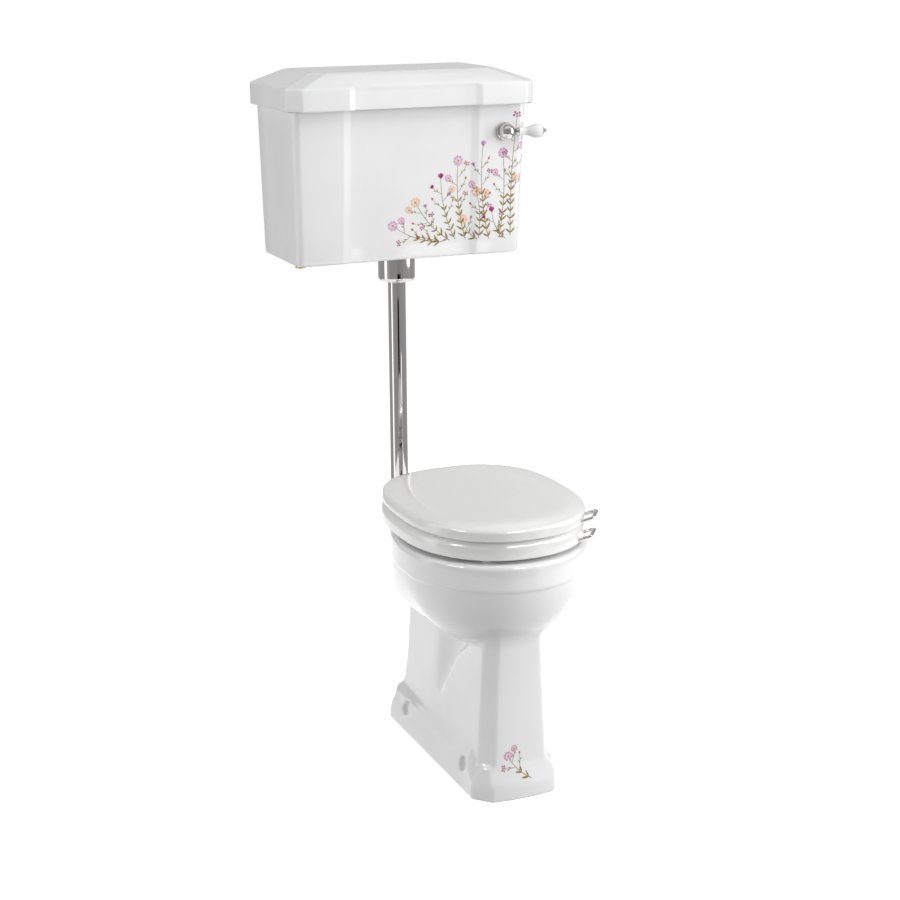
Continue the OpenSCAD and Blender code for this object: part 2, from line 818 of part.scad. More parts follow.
// Rubber connector between the pipe and the pan's inlet
module flush_cone() {
    color(rubber_colour) translate([0, pipe_end + 4, horn_z]) rotate([-90, 0, 0]) difference() {
        union() {
            cylinder(r = horn_bore - slip, h = horn_end - pipe_end - 4 + 1);
            translate([0, 0, horn_end - pipe_end - 4 + slip])
                cylinder(r1 = horn_r - 2, r2 = pipe_r + 4, h = cone_lip);
        }
        translate([0, 0, -1]) cylinder(r = pipe_r + slip, h = 60);
    }
}

// ---- pan ----

ring_count = 48;
band_z = rim_z - rim_band;
band_step = 3;
bowl_back_drop = 112;
deck_w = 98;
deck_back = hinge_y + 28;
deck_mid = 140;
deck_t = 16;

// Plan of the rim, drawn in by inset
function rim_ring(z, inset) =
    outline_ring(rim_w - inset, -rim_mid, rim_front - inset, rim_back - inset, 2, 2, z, ring_count);

// How far the bowl has closed at depth d under the band: 1 at the band, 0 at its lowest point
function bowl_close(d, depth, power) = pow(max(0, 1 - pow(min(1, d / depth), power)), 1 / power);

// The back of the bowl closes faster than the front and the sides
function bowl_share(d, t) =
    let (k = max(0, min(1, sin(t) / 0.7)), blend = k * k * (3 - 2 * k),
        front = bowl_close(d, bowl_drop, 1.85), back = bowl_close(d, bowl_back_drop, 3))
    max(0.25, front + (back - front) * blend);

function bowl_ring(d) = [for (i = [0 : ring_count - 1])
    let (t = 360 * (i + 0.5) / ring_count, share = bowl_share(d, t), w = rim_w - band_step,
        p = outline_point(w, 0, rim_front - band_step, rim_back - band_step, 2, 2.2, t))
    [p.x * share, -rim_mid + p.y * share, band_z - d]];

module bowl_outside() {
    edge = 8;
    loft([
        for (d = [168, 160, 148, 134, 118, 100, 80, 60, 40, 20, 1]) bowl_ring(d),
        rim_ring(band_z, band_step / 2),
        rim_ring(band_z + 4, 0),
        for (a = [0 : 30 : 90]) rim_ring(rim_z - edge + edge * sin(a), edge - edge * cos(a))
    ]);
}

// The flat deck behind the bowl that carries the seat hinge
function deck_ring(z, inset) =
    outline_ring(deck_w - inset, deck_mid, 45, deck_back - deck_mid - inset, 6, 6, z, ring_count);

module deck_outside() {
    edge = 8;
    loft([
        deck_ring(band_z + 1, 2), deck_ring(band_z + 5, 0),
        for (a = [0 : 30 : 90]) deck_ring(rim_z - edge + edge * sin(a), edge - edge * cos(a))
    ]);
}

bore_back = 72;        // where the rim's opening ends behind the origin
bore_mid = 90;
opening_w = rim_w - rim_flat;
opening_front = rim_front + rim_mid - bore_mid - rim_flat + 3;
opening_back = bore_back + bore_mid;
lip_t = 10;
lip_h = 45;
sump_y = -42;
trap_low = 136;
crown_h = outlet_z + 70;
trap_wall = 10;

function opening_ring(z, grow) = outline_ring(opening_w + grow, -bore_mid,
    opening_front + grow, opening_back + grow, 2, 2.2, z, ring_count);

// Inside of the bowl: half width, front, back and height of each ring, lowest first
inside_rings = [
    [trap_r + 1, sump_y - trap_r - 1, sump_y + trap_r + 1, trap_low + 48],
    [trap_r + 1, sump_y - trap_r - 6, sump_y + trap_r + 2, 206],
    [trap_r + 1, sump_y - trap_r - 18, sump_y + trap_r + 8, 240],
    [trap_r + 2, sump_y - trap_r - 50, sump_y + trap_r + 16, 285],
    [trap_r + 9, -190, 16, band_z - 124],
    [0.45 * rim_w, -226, 26, band_z - 102],
    [0.62 * rim_w, -rim_front - rim_mid + 62, 34, band_z - 82],
    [0.76 * rim_w, -rim_front - rim_mid + 36, 46, band_z - 54],
    [rim_w - china - 14, -rim_front - rim_mid + 22, 60, band_z - 26],
    [rim_w - china - 2, -rim_front - rim_mid + china, bore_back + lip_t + 4, band_z],
    [rim_w - china - 2, -rim_front - rim_mid + china, bore_back + lip_t + 4, rim_z - deck_t]
];

module bowl_inside() {
    loft([for (r = inside_rings)
        let (mid = (r[1] + r[2]) / 2 - (r[2] - r[1]) * 0.04)
        outline_ring(r[0], mid, mid - r[1], r[2] - mid, 2, 2.2, r[3], ring_count)]);
}

// Plan of the plinth or the pedestal at height z; cx and cy are the legs of the cut corners, and
// behind the crease each side draws in
function foot_ring(z, w, back, front, cx, cy, bow, draw) = [
    [w, crease_y, z], [w - draw, back, z], [draw - w, back, z], [-w, crease_y, z], [-w, -front + cy, z],
    for (i = [0 : 6]) let (u = -1 + i / 3) [u * (w - cx), -front - bow * (1 - u * u), z],
    [w, -front + cy, z]
];

pedestal_top = band_z - 90;
pedestal_front = plinth_front - 17;
pedestal_back = plinth_back - 46;
plinth_mid = (plinth_edge + plinth_top) / 2;

module foot_outside() {
    loft([
        foot_ring(0, plinth_w, plinth_back, plinth_front, 28, 33, 6, 0.5),
        foot_ring(plinth_edge, plinth_w, plinth_back, plinth_front, 28, 33, 6, 0.5),
        foot_ring(plinth_mid, plinth_w - 4, plinth_back - 2, plinth_front - 5, 27, 33, 5, 3),
        foot_ring(plinth_top, foot_w, plinth_back - 8, pedestal_front, 23, 31, 3, 10),
        foot_ring(plinth_top + 24, foot_w - 2, plinth_back - 18, pedestal_front - 1, 23, 30, 2, 12),
        foot_ring(230, neck_w + 5, pedestal_back + 2, pedestal_front - 4, 22, 24, 1, 9),
        foot_ring(pedestal_top, neck_w, pedestal_back, pedestal_front - 6, 22, 22, 1, 6),
        foot_ring(band_z + 2, neck_w - 9, pedestal_back + 8, pedestal_front - 60, 22, 22, 1, 4)
    ]);
}

// The soft hollow in each side between the front block and the trapway
module side_hollow() {
    both_sides() for (end = [[17, -42, 166, 18], [23, -176, 336, 30]]) hull() {
        translate([neck_w + 29, -66, 288]) sphere(46, $fn = 24);
        translate([neck_w + end[0], end[1], end[2]]) sphere(end[3], $fn = 24);
    }
}

cavity_w = plinth_w - 36;
cavity_top = 150;

module foot_inside() {
    loft([
        foot_ring(-1, cavity_w, plinth_back - china, pedestal_front - china, 14, 20, 0, 6),
        foot_ring(cavity_top, cavity_w, pedestal_back - china, pedestal_front - china, 14, 20, 0, 6),
        foot_ring(cavity_top + 40, neck_w - 24, pedestal_back - 70, pedestal_front - china, 14, 20, 0, 2)
    ]);
    // the back is open for the outlet
    translate([-cavity_w, 100, plinth_top]) cube([2 * cavity_w, 150, outlet_z]);
}

// The trapway turns on arcs: down the well, under the lip, over the crown and down to the outlet
trap_bend = trap_r + 4;
dip_y = sump_y + trap_bend;
dip_z = trap_low + trap_bend;
rise_y = dip_y + trap_bend;
crown_y = rise_y + trap_bend;
crown_c = crown_h - trap_bend;
fall_y = crown_y + trap_bend * sin(60);
fall_z = crown_c + trap_bend * cos(60);
last_y = fall_y + (fall_z - outlet_z - trap_bend * cos(60)) / tan(60) + trap_bend * sin(60);

// Centre line: y, z and heading
trap_line = [
    [sump_y, dip_z + 28, -90],
    for (a = [-90 : 15 : 90]) [dip_y + trap_bend * sin(a), dip_z - trap_bend * cos(a), a],
    for (a = [90 : -15 : -60]) [crown_y - trap_bend * sin(a), crown_c + trap_bend * cos(a), a],
    for (a = [-60 : 15 : 0]) [last_y + trap_bend * sin(a), outlet_z + trap_bend - trap_bend * cos(a), a],
    [plinth_back - 12, outlet_z, 0]
];

module trap_bore() {
    loft([for (p = trap_line) [for (i = [0 : 31])
        let (t = 360 * (i + 0.5) / 32, u = trap_r * sin(t))
        [-trap_r * cos(t), p[0] - u * sin(p[2]), p[1] + u * cos(p[2])]]]);
}

// The china round the trapway, with a ball a little larger than the tube at each turn
module trap_outside() {
    r = trap_r + trap_wall;
    points = [
        [0, sump_y, trap_low + 60], [0, sump_y + 6, trap_low + 4], [0, rise_y - 6, trap_low + 4],
        [0, rise_y, crown_h - 18], [0, crown_y + 8, crown_h - 4], [0, last_y, outlet_z]
    ];
    for (i = [0 : len(points) - 2]) rod(points[i], points[i + 1], r);
    for (i = [1 : len(points) - 1]) translate(points[i]) sphere(r + 1.5);
}

pocket_r = 13;
pocket_z = 25;

module pan() {
    color(china_colour) difference() {
        union() {
            difference() {
                union() {
                    bowl_outside();
                    deck_outside();
                    difference() {
                        foot_outside();
                        foot_inside();
                        side_hollow();
                    }
                }
                // the underside of the deck, where the seat's nuts are reached
                translate([-deck_w + 8, hinge_y - 17, band_z - 10])
                    cube([2 * deck_w - 16, deck_back - 10 - hinge_y + 17, rim_z - deck_t - band_z + 10]);
                bowl_inside();
            }
            difference() {
                loft([opening_ring(rim_z - lip_h, lip_t), opening_ring(rim_z - deck_t + 1, lip_t)]);
                loft([opening_ring(rim_z - lip_h - 1, 0), opening_ring(rim_z + 1, 0)]);
            }
            trap_outside();
            translate([0, 150, outlet_z]) rotate([-90, 0, 0])
                cylinder(r = spigot_r, h = plinth_back - 150);
            // the collar that a connector is pushed up to
            translate([0, 150, outlet_z]) rotate([-90, 0, 0])
                cylinder(r = spigot_r + 2, h = pedestal_back + 14 - 150);
            translate([0, 100, horn_z]) rotate([-90, 0, 0]) cylinder(r = horn_r, h = horn_end - 100);
        }
        loft([opening_ring(rim_z - deck_t - 1, 0), opening_ring(rim_z + 1, 0)]);
        trap_bore();
        translate([0, plinth_back - 42, outlet_z]) rotate([-90, 0, 0])
            cylinder(r = trap_r + 5, h = 60);
        translate([0, 60, horn_z]) rotate([-90, 0, 0]) cylinder(r = horn_bore, h = horn_end);
        both_sides() translate([pillar_x, hinge_y, rim_z - 30]) cylinder(r = stud_hole_r, h = 40);
        for (x = [-1, 1]) for (y = [-1, 1]) translate([x * screw_dx / 2, y * screw_dy / 2, 0]) {
            translate([0, 0, pocket_z]) cylinder(r = pocket_r, h = 60);
            translate([0, 0, -1]) cylinder(r = screw_r, h = pocket_z + 2);
        }
    }
}

// ---- seat ----

ring_z = rim_z + seat_gap;
cover_z = ring_z + ring_t + lid_gap;
ring_mid = 90;
ring_front = 212;
ring_back = 232;
cover_mid = 78;
cover_front = 229;
cover_back = 222;
hinge_z = rim_z + hinge_up;
handle_turn = 36;      // the way the lifting handles point, from +X towards the front
handle_at = 42;        // where they stand on the outlines, in the same sense
handle_rise = 8;
handle_deep = 6;
handle_base = rod_r + 3.5;
handle_bend = 7;

function ring_point(inset, t) = outline_point(ring_w - inset, -ring_mid, ring_front - inset,
    ring_back - inset, 2.15, 3, t);
function hole_point(grow, t) = outline_point(hole_w + grow, -ring_mid, 150 + grow,
    hole_back + ring_mid + grow, 2.1, 2.4, t);
hole_back = 50;

// The ring's section, walked from the outside to the hole and back: share of the way in, height
ring_edge = 12;
ring_low_edge = 4;

function ring_section(t) = let (
        o = function(inset, z) let (p = ring_point(inset, t)) [p.x, p.y, ring_z + z],
        h = function(grow, z) let (p = hole_point(grow, t)) [p.x, p.y, ring_z + z])
    [
        o(ring_low_edge, 0), o(0, ring_low_edge), o(0, ring_t - ring_edge),
        for (a = [30 : 30 : 90])
            o(ring_edge - ring_edge * cos(a), ring_t - ring_edge + ring_edge * sin(a)),
        for (a = [90 : -30 : 0])
            h(ring_edge - ring_edge * cos(a), ring_t - ring_edge + ring_edge * sin(a)),
        h(0, ring_low_edge), h(ring_low_edge, 0)
    ];

module ring_form() {
    sections = [for (i = [0 : ring_count - 1]) ring_section(360 * (i + 0.5) / ring_count)];
    m = len(sections[0]);
    polyhedron(
        points = [for (s = sections) each s],
        faces = [for (i = [0 : ring_count - 1]) for (j = [0 : m - 1])
            let (a = i * m + j, b = i * m + (j + 1) % m,
                c = ((i + 1) % ring_count) * m + j, d = ((i + 1) % ring_count) * m + (j + 1) % m)
            each [[a, b, c], [b, d, c]]]
    );
}

// A lifting handle: two arms with a bar across, standing on an outline point p at height z
module handle_rod(p, z, r) {
    half = handle_span / 2;
    out = norm([handle_out, handle_rise]);
    b = handle_bend;
    translate([p.x, p.y, z]) rotate([0, 0, -handle_turn]) rotate([0, -atan(handle_rise / handle_out), 0]) {
        for (s = [-1, 1]) {
            translate([-handle_deep, s * half, 0]) rotate([0, 90, 0])
                cylinder(r = r, h = handle_deep + out - b);
            translate([out - b, s * (half - b), 0]) rotate([0, 0, s > 0 ? 0 : -90])
                rotate_extrude(angle = 90) translate([b, 0]) circle(r);
        }
        translate([out, b - half, 0]) rotate([-90, 0, 0]) cylinder(r = r, h = handle_span - 2 * b);
    }
}

ring_handle_z = ring_z + handle_base;
cover_handle_z = cover_z + handle_base;

bracket_t = 3;
ring_bracket_x = 92.5;
cover_bracket_x = 55;
bracket_w = 9;
knuckle_r = 9;
bracket_screw_r = 2;
bracket_screw_len = 14;
bracket_screw_y = [112, 126];

module bracket_screw_holes(x, z) {
    for (s = [-1, 1]) for (y = bracket_screw_y) translate([s * x, y, z])
        cylinder(r = bracket_screw_r + slip, h = bracket_screw_len + 1);
}

module seat_ring() {
    color(seat_colour) difference() {
        ring_form();
        handle_rod(ring_point(0, -handle_at), ring_handle_z, rod_r + slip);
        bracket_screw_holes(ring_bracket_x - 2, ring_z - 1);
    }
}

function cover_ring(z, inset) = outline_ring(cover_w - inset, -cover_mid, cover_front - inset,
    cover_back - inset, 2.34, 3.2, cover_z + z, ring_count);

module cover_form() {
    edge = 10;
    loft([
        cover_ring(0, 3), cover_ring(3, 0), cover_ring(cover_t - 17, 0),
        for (a = [22.5 : 22.5 : 67.5])
            cover_ring(cover_t - 17 + edge * sin(a), edge - edge * cos(a)),
        cover_ring(cover_t - 5.5, 14), cover_ring(cover_t - 3.4, 24), cover_ring(cover_t - 2, 38),
        cover_ring(cover_t - 0.8, 70), cover_ring(cover_t, 130)
    ]);
}

module seat_cover() {
    color(seat_colour) difference() {
        cover_form();
        handle_rod(outline_point(cover_w, -cover_mid, cover_front, cover_back, 2.34, 3.2, -handle_at),
            cover_handle_z, rod_r + slip);
        bracket_screw_holes(cover_bracket_x, cover_z - 1);
    }
}

module ring_handle() {
    color(chrome_colour) handle_rod(ring_point(0, -handle_at), ring_handle_z, rod_r);
}

module cover_handle() {
    color(chrome_colour) handle_rod(
        outline_point(cover_w, -cover_mid, cover_front, cover_back, 2.34, 3.2, -handle_at),
        cover_handle_z, rod_r);
}

// ---- seat hinge ----

stud_r = 4;
stud_hole_r = 6.5;
pillar_r = 9;
pillar_foot_r = 14;
gasket_t = 1.5;
stud_up = 16;

module hinge_pillars() {
    color(chrome_colour) both_sides() translate([pillar_x, hinge_y, rim_z + gasket_t]) difference() {
        union() {
            cylinder(r = pillar_foot_r, h = 3);
            translate([0, 0, 3 - eps]) cylinder(r1 = pillar_foot_r - 2, r2 = pillar_r, h = 3);
            cylinder(r = pillar_r, h = hinge_up - gasket_t);
            translate([0, 0, hinge_up - gasket_t]) sphere(pillar_r);
        }
        translate([-20, 0, hinge_up - gasket_t]) rotate([0, 90, 0]) cylinder(r = bar_r + run, h = 40);
        translate([0, 0, -1]) cylinder(r = stud_r + thread_slip, h = stud_up - gasket_t + 1);
    }
}

module pillar_washers() {
    color(rubber_colour) both_sides() translate([pillar_x, hinge_y, 0]) {
        translate([0, 0, rim_z]) washer(pillar_foot_r, stud_r + slip, gasket_t);
        translate([0, 0, rim_z - deck_t - gasket_t]) washer(11, stud_r + slip, gasket_t);
    }
}

nut_h = 9;
stud_low = rim_z - deck_t - gasket_t - nut_h - 8;

module pillar_studs() {
    color(brass_colour) both_sides() translate([pillar_x, hinge_y, stud_low])
        cylinder(r = stud_r, h = rim_z + stud_up - 0.5 - stud_low);
}

module pillar_nuts() {
    color(brass_colour) both_sides()
        translate([pillar_x, hinge_y, rim_z - deck_t - gasket_t - nut_h])
            hex_nut(9.5, stud_r + thread_slip, nut_h);
}

bar_half = 98;

module hinge_bar() {
    color(chrome_colour) translate([-bar_half, hinge_y, hinge_z]) rotate([0, 90, 0])
        cylinder(r = bar_r, h = 2 * bar_half);
}

module bar_ends() {
    color(chrome_colour) both_sides() translate([bar_half, hinge_y, hinge_z]) rotate([0, 90, 0])
        union() {
            cylinder(r = 7, h = 3);
            translate([0, 0, 3]) difference() {
                sphere(7);
                translate([-10, -10, -20]) cube(20);
            }
        }
}

module knuckle(x) {
    translate([x - bracket_w / 2, hinge_y, hinge_z]) rotate([0, 90, 0])
        cylinder(r = knuckle_r, h = bracket_w, $fn = 32);
}

module bar_bore(x) {
    translate([x - 20, hinge_y, hinge_z]) rotate([0, 90, 0]) cylinder(r = bar_r + run, h = 40);
}

// Plates under the back of the seat ring that turn on the bar outside the pillars
module ring_brackets() {
    plate_z = ring_z - bracket_t;
    x = ring_bracket_x;
    color(chrome_colour) both_sides() difference() {
        union() {
            translate([x - bracket_w / 2 - 3, bracket_screw_y[0] - 8, plate_z])
                cube([bracket_w + 3, hinge_y - bracket_screw_y[0] - 4, bracket_t]);
            hull() {
                knuckle(x);
                translate([x - bracket_w / 2, hinge_y - 16, plate_z]) cube([bracket_w, 6, bracket_t]);
            }
        }
        bar_bore(x);
        for (y = bracket_screw_y) translate([x - 2, y, plate_z - 1])
            cylinder(r = bracket_screw_r + slip, h = 10);
    }
}

// Thin plates under the back of the lid that turn on the bar between the pillars
cover_plate_t = lid_gap - 2 * seat_slip;

module cover_brackets() {
    plate_z = cover_z - cover_plate_t;
    x = cover_bracket_x;
    color(chrome_colour) both_sides() difference() {
        union() {
            translate([x - bracket_w / 2, bracket_screw_y[0] - 8, plate_z])
                cube([bracket_w, hinge_y - bracket_screw_y[0] - 4, cover_plate_t]);
            hull() {
                knuckle(x);
                translate([x - bracket_w / 2, hinge_y - 16, plate_z])
                    cube([bracket_w, 6, cover_plate_t]);
            }
        }
        bar_bore(x);
        for (y = bracket_screw_y) translate([x, y, plate_z - 1])
            cylinder(r = bracket_screw_r + slip, h = 10);
    }
}

module bracket_screws(x, z, under) {
    both_sides() for (y = bracket_screw_y) translate([x, y, z])
        union() {
            translate([0, 0, -under - 1]) cylinder(r = bracket_screw_r, h = bracket_screw_len + 1);
            translate([0, 0, -under - run - 1.2]) cylinder(r = 3.4, h = 1.2);
        }
}

module ring_bracket_screws() {
    color(brass_colour) bracket_screws(ring_bracket_x - 2, ring_z, bracket_t);
}

module cover_bracket_screws() {
    color(brass_colour) both_sides() for (y = bracket_screw_y)
        translate([cover_bracket_x, y, cover_z - cover_plate_t])
            cylinder(r = bracket_screw_r, h = bracket_screw_len);
}

// ---- rubber buffers ----

buffer_r = 9;
ring_buffer_at = [[153, -70], [75, -257]];
cover_buffer_at = [[146, -70], [66, -252]];

module ring_buffers() {
    color(rubber_colour) both_sides() for (p = ring_buffer_at)
        translate([p.x, p.y, rim_z + seat_slip]) cylinder(r = buffer_r, h = seat_gap - seat_slip);
}

module cover_buffers() {
    color(rubber_colour) both_sides() for (p = cover_buffer_at)
        translate([p.x, p.y, cover_z - lid_gap + seat_slip])
            cylinder(r = buffer_r - 1, h = lid_gap - seat_slip);
}

cistern_body();
cistern_lid();
lever_rosette();
lever_backnut();
lever_washers();
lever_hub();
lever_neck();
lever_grip();
lever_finial();
lift_arm();
lift_arm_screw();
lift_link();
siphon_body();
siphon_washers();
siphon_backnut();
siphon_piston();
siphon_diaphragm();
float_valve();
float_valve_backnut();
float_valve_washers();
float_arm();
float_pin();
float();
valve_plunger();
pipe_nut();
pipe_washer();
pipe_shroud();
flush_pipe();
flush_cone();
pan();
seat_ring();
seat_cover();
hinge_pillars();
pillar_washers();
pillar_studs();
pillar_nuts();
hinge_bar();
bar_ends();
ring_brackets();
ring_bracket_screws();
cover_brackets();
cover_bracket_screws();
ring_buffers();
cover_buffers();
ring_handle();
cover_handle();
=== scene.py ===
import json
import math
import random

import bmesh
import bpy
import numpy as np
from mathutils import Matrix, Vector
from mathutils.bvhtree import BVHTree


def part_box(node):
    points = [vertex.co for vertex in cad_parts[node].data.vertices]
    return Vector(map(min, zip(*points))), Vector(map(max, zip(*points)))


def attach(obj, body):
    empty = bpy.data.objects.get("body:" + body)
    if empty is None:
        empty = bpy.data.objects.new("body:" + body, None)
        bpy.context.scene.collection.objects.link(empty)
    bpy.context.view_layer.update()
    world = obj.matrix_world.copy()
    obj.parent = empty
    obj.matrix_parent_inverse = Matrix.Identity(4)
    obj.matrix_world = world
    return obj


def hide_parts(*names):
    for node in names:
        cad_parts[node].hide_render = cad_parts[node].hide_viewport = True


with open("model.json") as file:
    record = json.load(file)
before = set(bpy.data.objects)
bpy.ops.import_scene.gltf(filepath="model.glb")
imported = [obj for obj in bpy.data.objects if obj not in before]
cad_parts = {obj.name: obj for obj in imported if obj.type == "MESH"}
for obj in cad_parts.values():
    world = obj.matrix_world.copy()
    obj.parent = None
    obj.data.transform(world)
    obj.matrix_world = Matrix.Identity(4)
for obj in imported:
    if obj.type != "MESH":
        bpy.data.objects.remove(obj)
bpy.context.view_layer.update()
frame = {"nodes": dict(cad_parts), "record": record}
mounts = {mount["name"]: mount for mount in frame["record"]["mounts"]}
MM = 0.001  # the room is laid out in metres, and every piece in millimetres

# ----------------------------------------
# The room: a pale floor, soft lamps at the right, the left, behind and above,
# and tall grey screens round the object that only its reflections show. The
# camera stands left of the toilet at head height and looks down a little.
WHITE = (1.0, 1.0, 1.0, 1.0)
AMBIENT, FLOOR_GREY, FLOOR_GLOW = 0.14, 0.50, 0.93
MIDDLE_Y = 0.1
scene = bpy.context.scene
scene.view_settings.view_transform = "Standard"


def new_material(name, color, roughness, metallic=0.0, **sockets):
    """A material, its nodes and its shader; in the names of sockets, _ stands for a space."""
    material = bpy.data.materials.new(name)
    material.use_nodes = True
    shader = material.node_tree.nodes["Principled BSDF"]
    sockets.update(Base_Color=(*color, 1.0), Roughness=roughness, Metallic=metallic)
    for key, value in sockets.items():
        shader.inputs[key.replace("_", " ")].default_value = value
    return material, material.node_tree, shader


def add_node(tree, kind, **values):
    """A new shader node: each value is one of its settings, or else the value of one of its inputs."""
    node = tree.nodes.new("ShaderNode" + kind)
    for key, value in values.items():
        if hasattr(node, key):
            setattr(node, key, value)
        else:
            node.inputs[key.replace("_", " ")].default_value = value
    return node


def wire(tree, *pairs):
    for output, socket in pairs:
        tree.links.new(output, socket)


def seen_directly(tree):
    """1 for rays from the camera, off a mirror or through glass, and 0 for light on the object."""
    path = add_node(tree, "LightPath")
    first = add_node(tree, "Math", operation="MAXIMUM")
    both = add_node(tree, "Math", operation="MAXIMUM")
    wire(tree, (path.outputs["Is Camera Ray"], first.inputs[0]),
         (path.outputs["Is Glossy Ray"], first.inputs[1]),
         (first.outputs[0], both.inputs[0]),
         (path.outputs["Is Transmission Ray"], both.inputs[1]))
    return both.outputs[0]


world = bpy.data.worlds.new("room")
world.use_nodes = True
scene.world = world
air = world.node_tree
air.nodes.clear()
ambient = add_node(air, "Background", Color=WHITE, Strength=AMBIENT)
backdrop = add_node(air, "Background", Color=WHITE, Strength=1.0)
mixed = add_node(air, "MixShader")
out = add_node(air, "OutputWorld")
wire(air, (seen_directly(air), mixed.inputs[0]), (ambient.outputs[0], mixed.inputs[1]),
     (backdrop.outputs[0], mixed.inputs[2]), (mixed.outputs[0], out.inputs[0]))


def put(name, data):
    """A new object in the scene."""
    thing = bpy.data.objects.new(name, data)
    scene.collection.objects.link(thing)
    return thing


def quad(name, corners, material):
    mesh = bpy.data.meshes.new(name)
    mesh.from_pydata(corners, [], [(0, 1, 2, 3)])
    mesh.materials.append(material)
    sheet = put(name, mesh)
    return sheet


floor_paint, floor_tree, floor_shader = new_material("floor_paint", (FLOOR_GREY,) * 3, 0.9,
                                                     Specular_IOR_Level=0.0)
floor_bounce = add_node(floor_tree, "BsdfDiffuse", Color=(*(FLOOR_GREY,) * 3, 1.0))
floor_glow = add_node(floor_tree, "Emission", Color=WHITE, Strength=FLOOR_GLOW)
floor_sum = add_node(floor_tree, "AddShader")
floor_pick = add_node(floor_tree, "MixShader")
wire(floor_tree, (floor_shader.outputs[0], floor_sum.inputs[0]),
     (floor_glow.outputs[0], floor_sum.inputs[1]),
     (seen_directly(floor_tree), floor_pick.inputs[0]),
     (floor_bounce.outputs[0], floor_pick.inputs[1]),
     (floor_sum.outputs[0], floor_pick.inputs[2]),
     (floor_pick.outputs[0], floor_tree.nodes["Material Output"].inputs["Surface"]))
quad("floor", [(-9, -9, 0), (9, -9, 0), (9, 9, 0), (-9, 9, 0)], floor_paint)


def around(azimuth, distance, height):
    """A point round the object: azimuth 0 lies in front of it, and 90 to its right."""
    a = math.radians(azimuth)
    return Vector((distance * math.sin(a), MIDDLE_Y - distance * math.cos(a), height))


def soft_light(name, azimuth, height, distance, width, tall, power, aim_height=0.8):
    """A box lamp of width by tall metres, turned to the object's middle at aim_height."""
    lamp = bpy.data.lights.new(name, "AREA")
    lamp.shape = "RECTANGLE"
    lamp.size = width
    lamp.size_y = tall
    lamp.energy = power
    stand = put(name, lamp)
    stand.location = around(azimuth, distance, height)
    aim = Vector((0, MIDDLE_Y, aim_height)) - stand.location
    stand.rotation_euler = aim.to_track_quat("-Z", "Y").to_euler()
    return stand


soft_light("key_box", 62, 1.65, 2.9, 0.9, 2.7, 46, 1.0)
soft_light("fill_box", -104, 1.3, 3.2, 0.9, 2.4, 44)
soft_light("rear_box", 165, 3.0, 2.6, 1.6, 1.6, 26)
for unseen in (
        soft_light("top_box", 0, 3.2, 1.2, 1.6, 1.6, 26, 0.6),
        soft_light("left_front_box", -55, 1.6, 3.3, 1.2, 2.0, 9),
        soft_light("right_front_box", 32, 1.7, 3.4, 1.0, 2.0, 46)):
    unseen.visible_glossy = False


def screen(name, start, end, grey, low=0.005, high=3.2, reach=1.75):
    """A plain screen between two azimuths and two heights, which only reflections meet."""
    paint, tree, shader = new_material(name, (0.0, 0.0, 0.0), 1.0)
    shine = add_node(tree, "Emission", Color=(grey, grey, grey, 1.0), Strength=1.0)
    wire(tree, (shine.outputs[0], tree.nodes["Material Output"].inputs["Surface"]))
    a, b = around(start, reach, low), around(end, reach, low)
    sheet = quad(name, [a, b, (b.x, b.y, high), (a.x, a.y, high)], paint)
    sheet.visible_camera = False
    sheet.visible_diffuse = False
    sheet.visible_shadow = False
    sheet.visible_transmission = False


for n, (start, end, grey) in enumerate((
        (-75, -50, 0.37), (-50, -25, 0.37), (-25, 0, 0.33), (0, 25, 0.35), (25, 46, 0.40),
        (80, 105, 0.42), (105, 130, 0.42), (130, 160, 0.60), (160, 190, 0.60), (190, 220, 0.42),
        (220, 251, 0.40), (251, 268, 1.9), (268, 285, 0.50))):
    screen(f"screen_{n}", start, end, grey)
screen("dark_card", -19, 4, 0.0, 0.27, 0.52, 1.70)
screen("low_card", 25, 34, 1.9, 0.02, 0.34, 1.70)
screen("right_card", 46, 80, 0.40, 0.005, 0.64)

camera_data = bpy.data.cameras.new("camera")
camera_data.sensor_width = 36.0
camera_data.lens = 74.064
camera_data.clip_start = 0.1
camera_data.clip_end = 40.0
camera = put("camera", camera_data)
CAMERA_AT = (-1.418, -3.264, 1.615)
yaw, pitch, roll = math.radians(22.91), math.radians(15.34), math.radians(-0.41)
ahead = Vector((math.sin(yaw) * math.cos(pitch), math.cos(yaw) * math.cos(pitch), -math.sin(pitch)))
level = Vector((math.cos(yaw), -math.sin(yaw), 0.0))
upright = level.cross(ahead)
right = level * math.cos(roll) + upright * math.sin(roll)
up = upright * math.cos(roll) - level * math.sin(roll)
camera.matrix_world = Matrix((*zip(right, up, -ahead, CAMERA_AT), (0, 0, 0, 1)))
scene.camera = camera

# ----------------------------------------
# The cistern: slip-cast china with a white gloss glaze. Its walls lean out
# towards the rim, the front has a shallow sunk panel, and the glaze rounds
# every edge. It hangs on the wall on two screws through its back.


def pattern(tree, scale, detail=2.0, kind="Noise", at=None, **values):
    """A texture's strength, laid out in the object's own space or at the given coordinates."""
    node = add_node(tree, "Tex" + kind, Scale=scale, Detail=detail, **values)
    if at is None:
        place = tree.nodes.get("place") or add_node(tree, "TexCoord", name="place")
        at = place.outputs["Object"]
    wire(tree, (at, node.inputs["Vector"]))
    return node.outputs["Fac"]


def tinted(tree, shader, strength, dark, light, stops=(0.0, 1.0)):
    """A base colour that goes from dark to light with a pattern's strength."""
    ramp = add_node(tree, "ValToRGB")
    for element, stop, color in zip(ramp.color_ramp.elements, stops, (dark, light)):
        element.position = stop
        element.color = (*color, 1)
    wire(tree, (strength, ramp.inputs["Fac"]), (ramp.outputs["Color"], shader.inputs["Base Color"]))


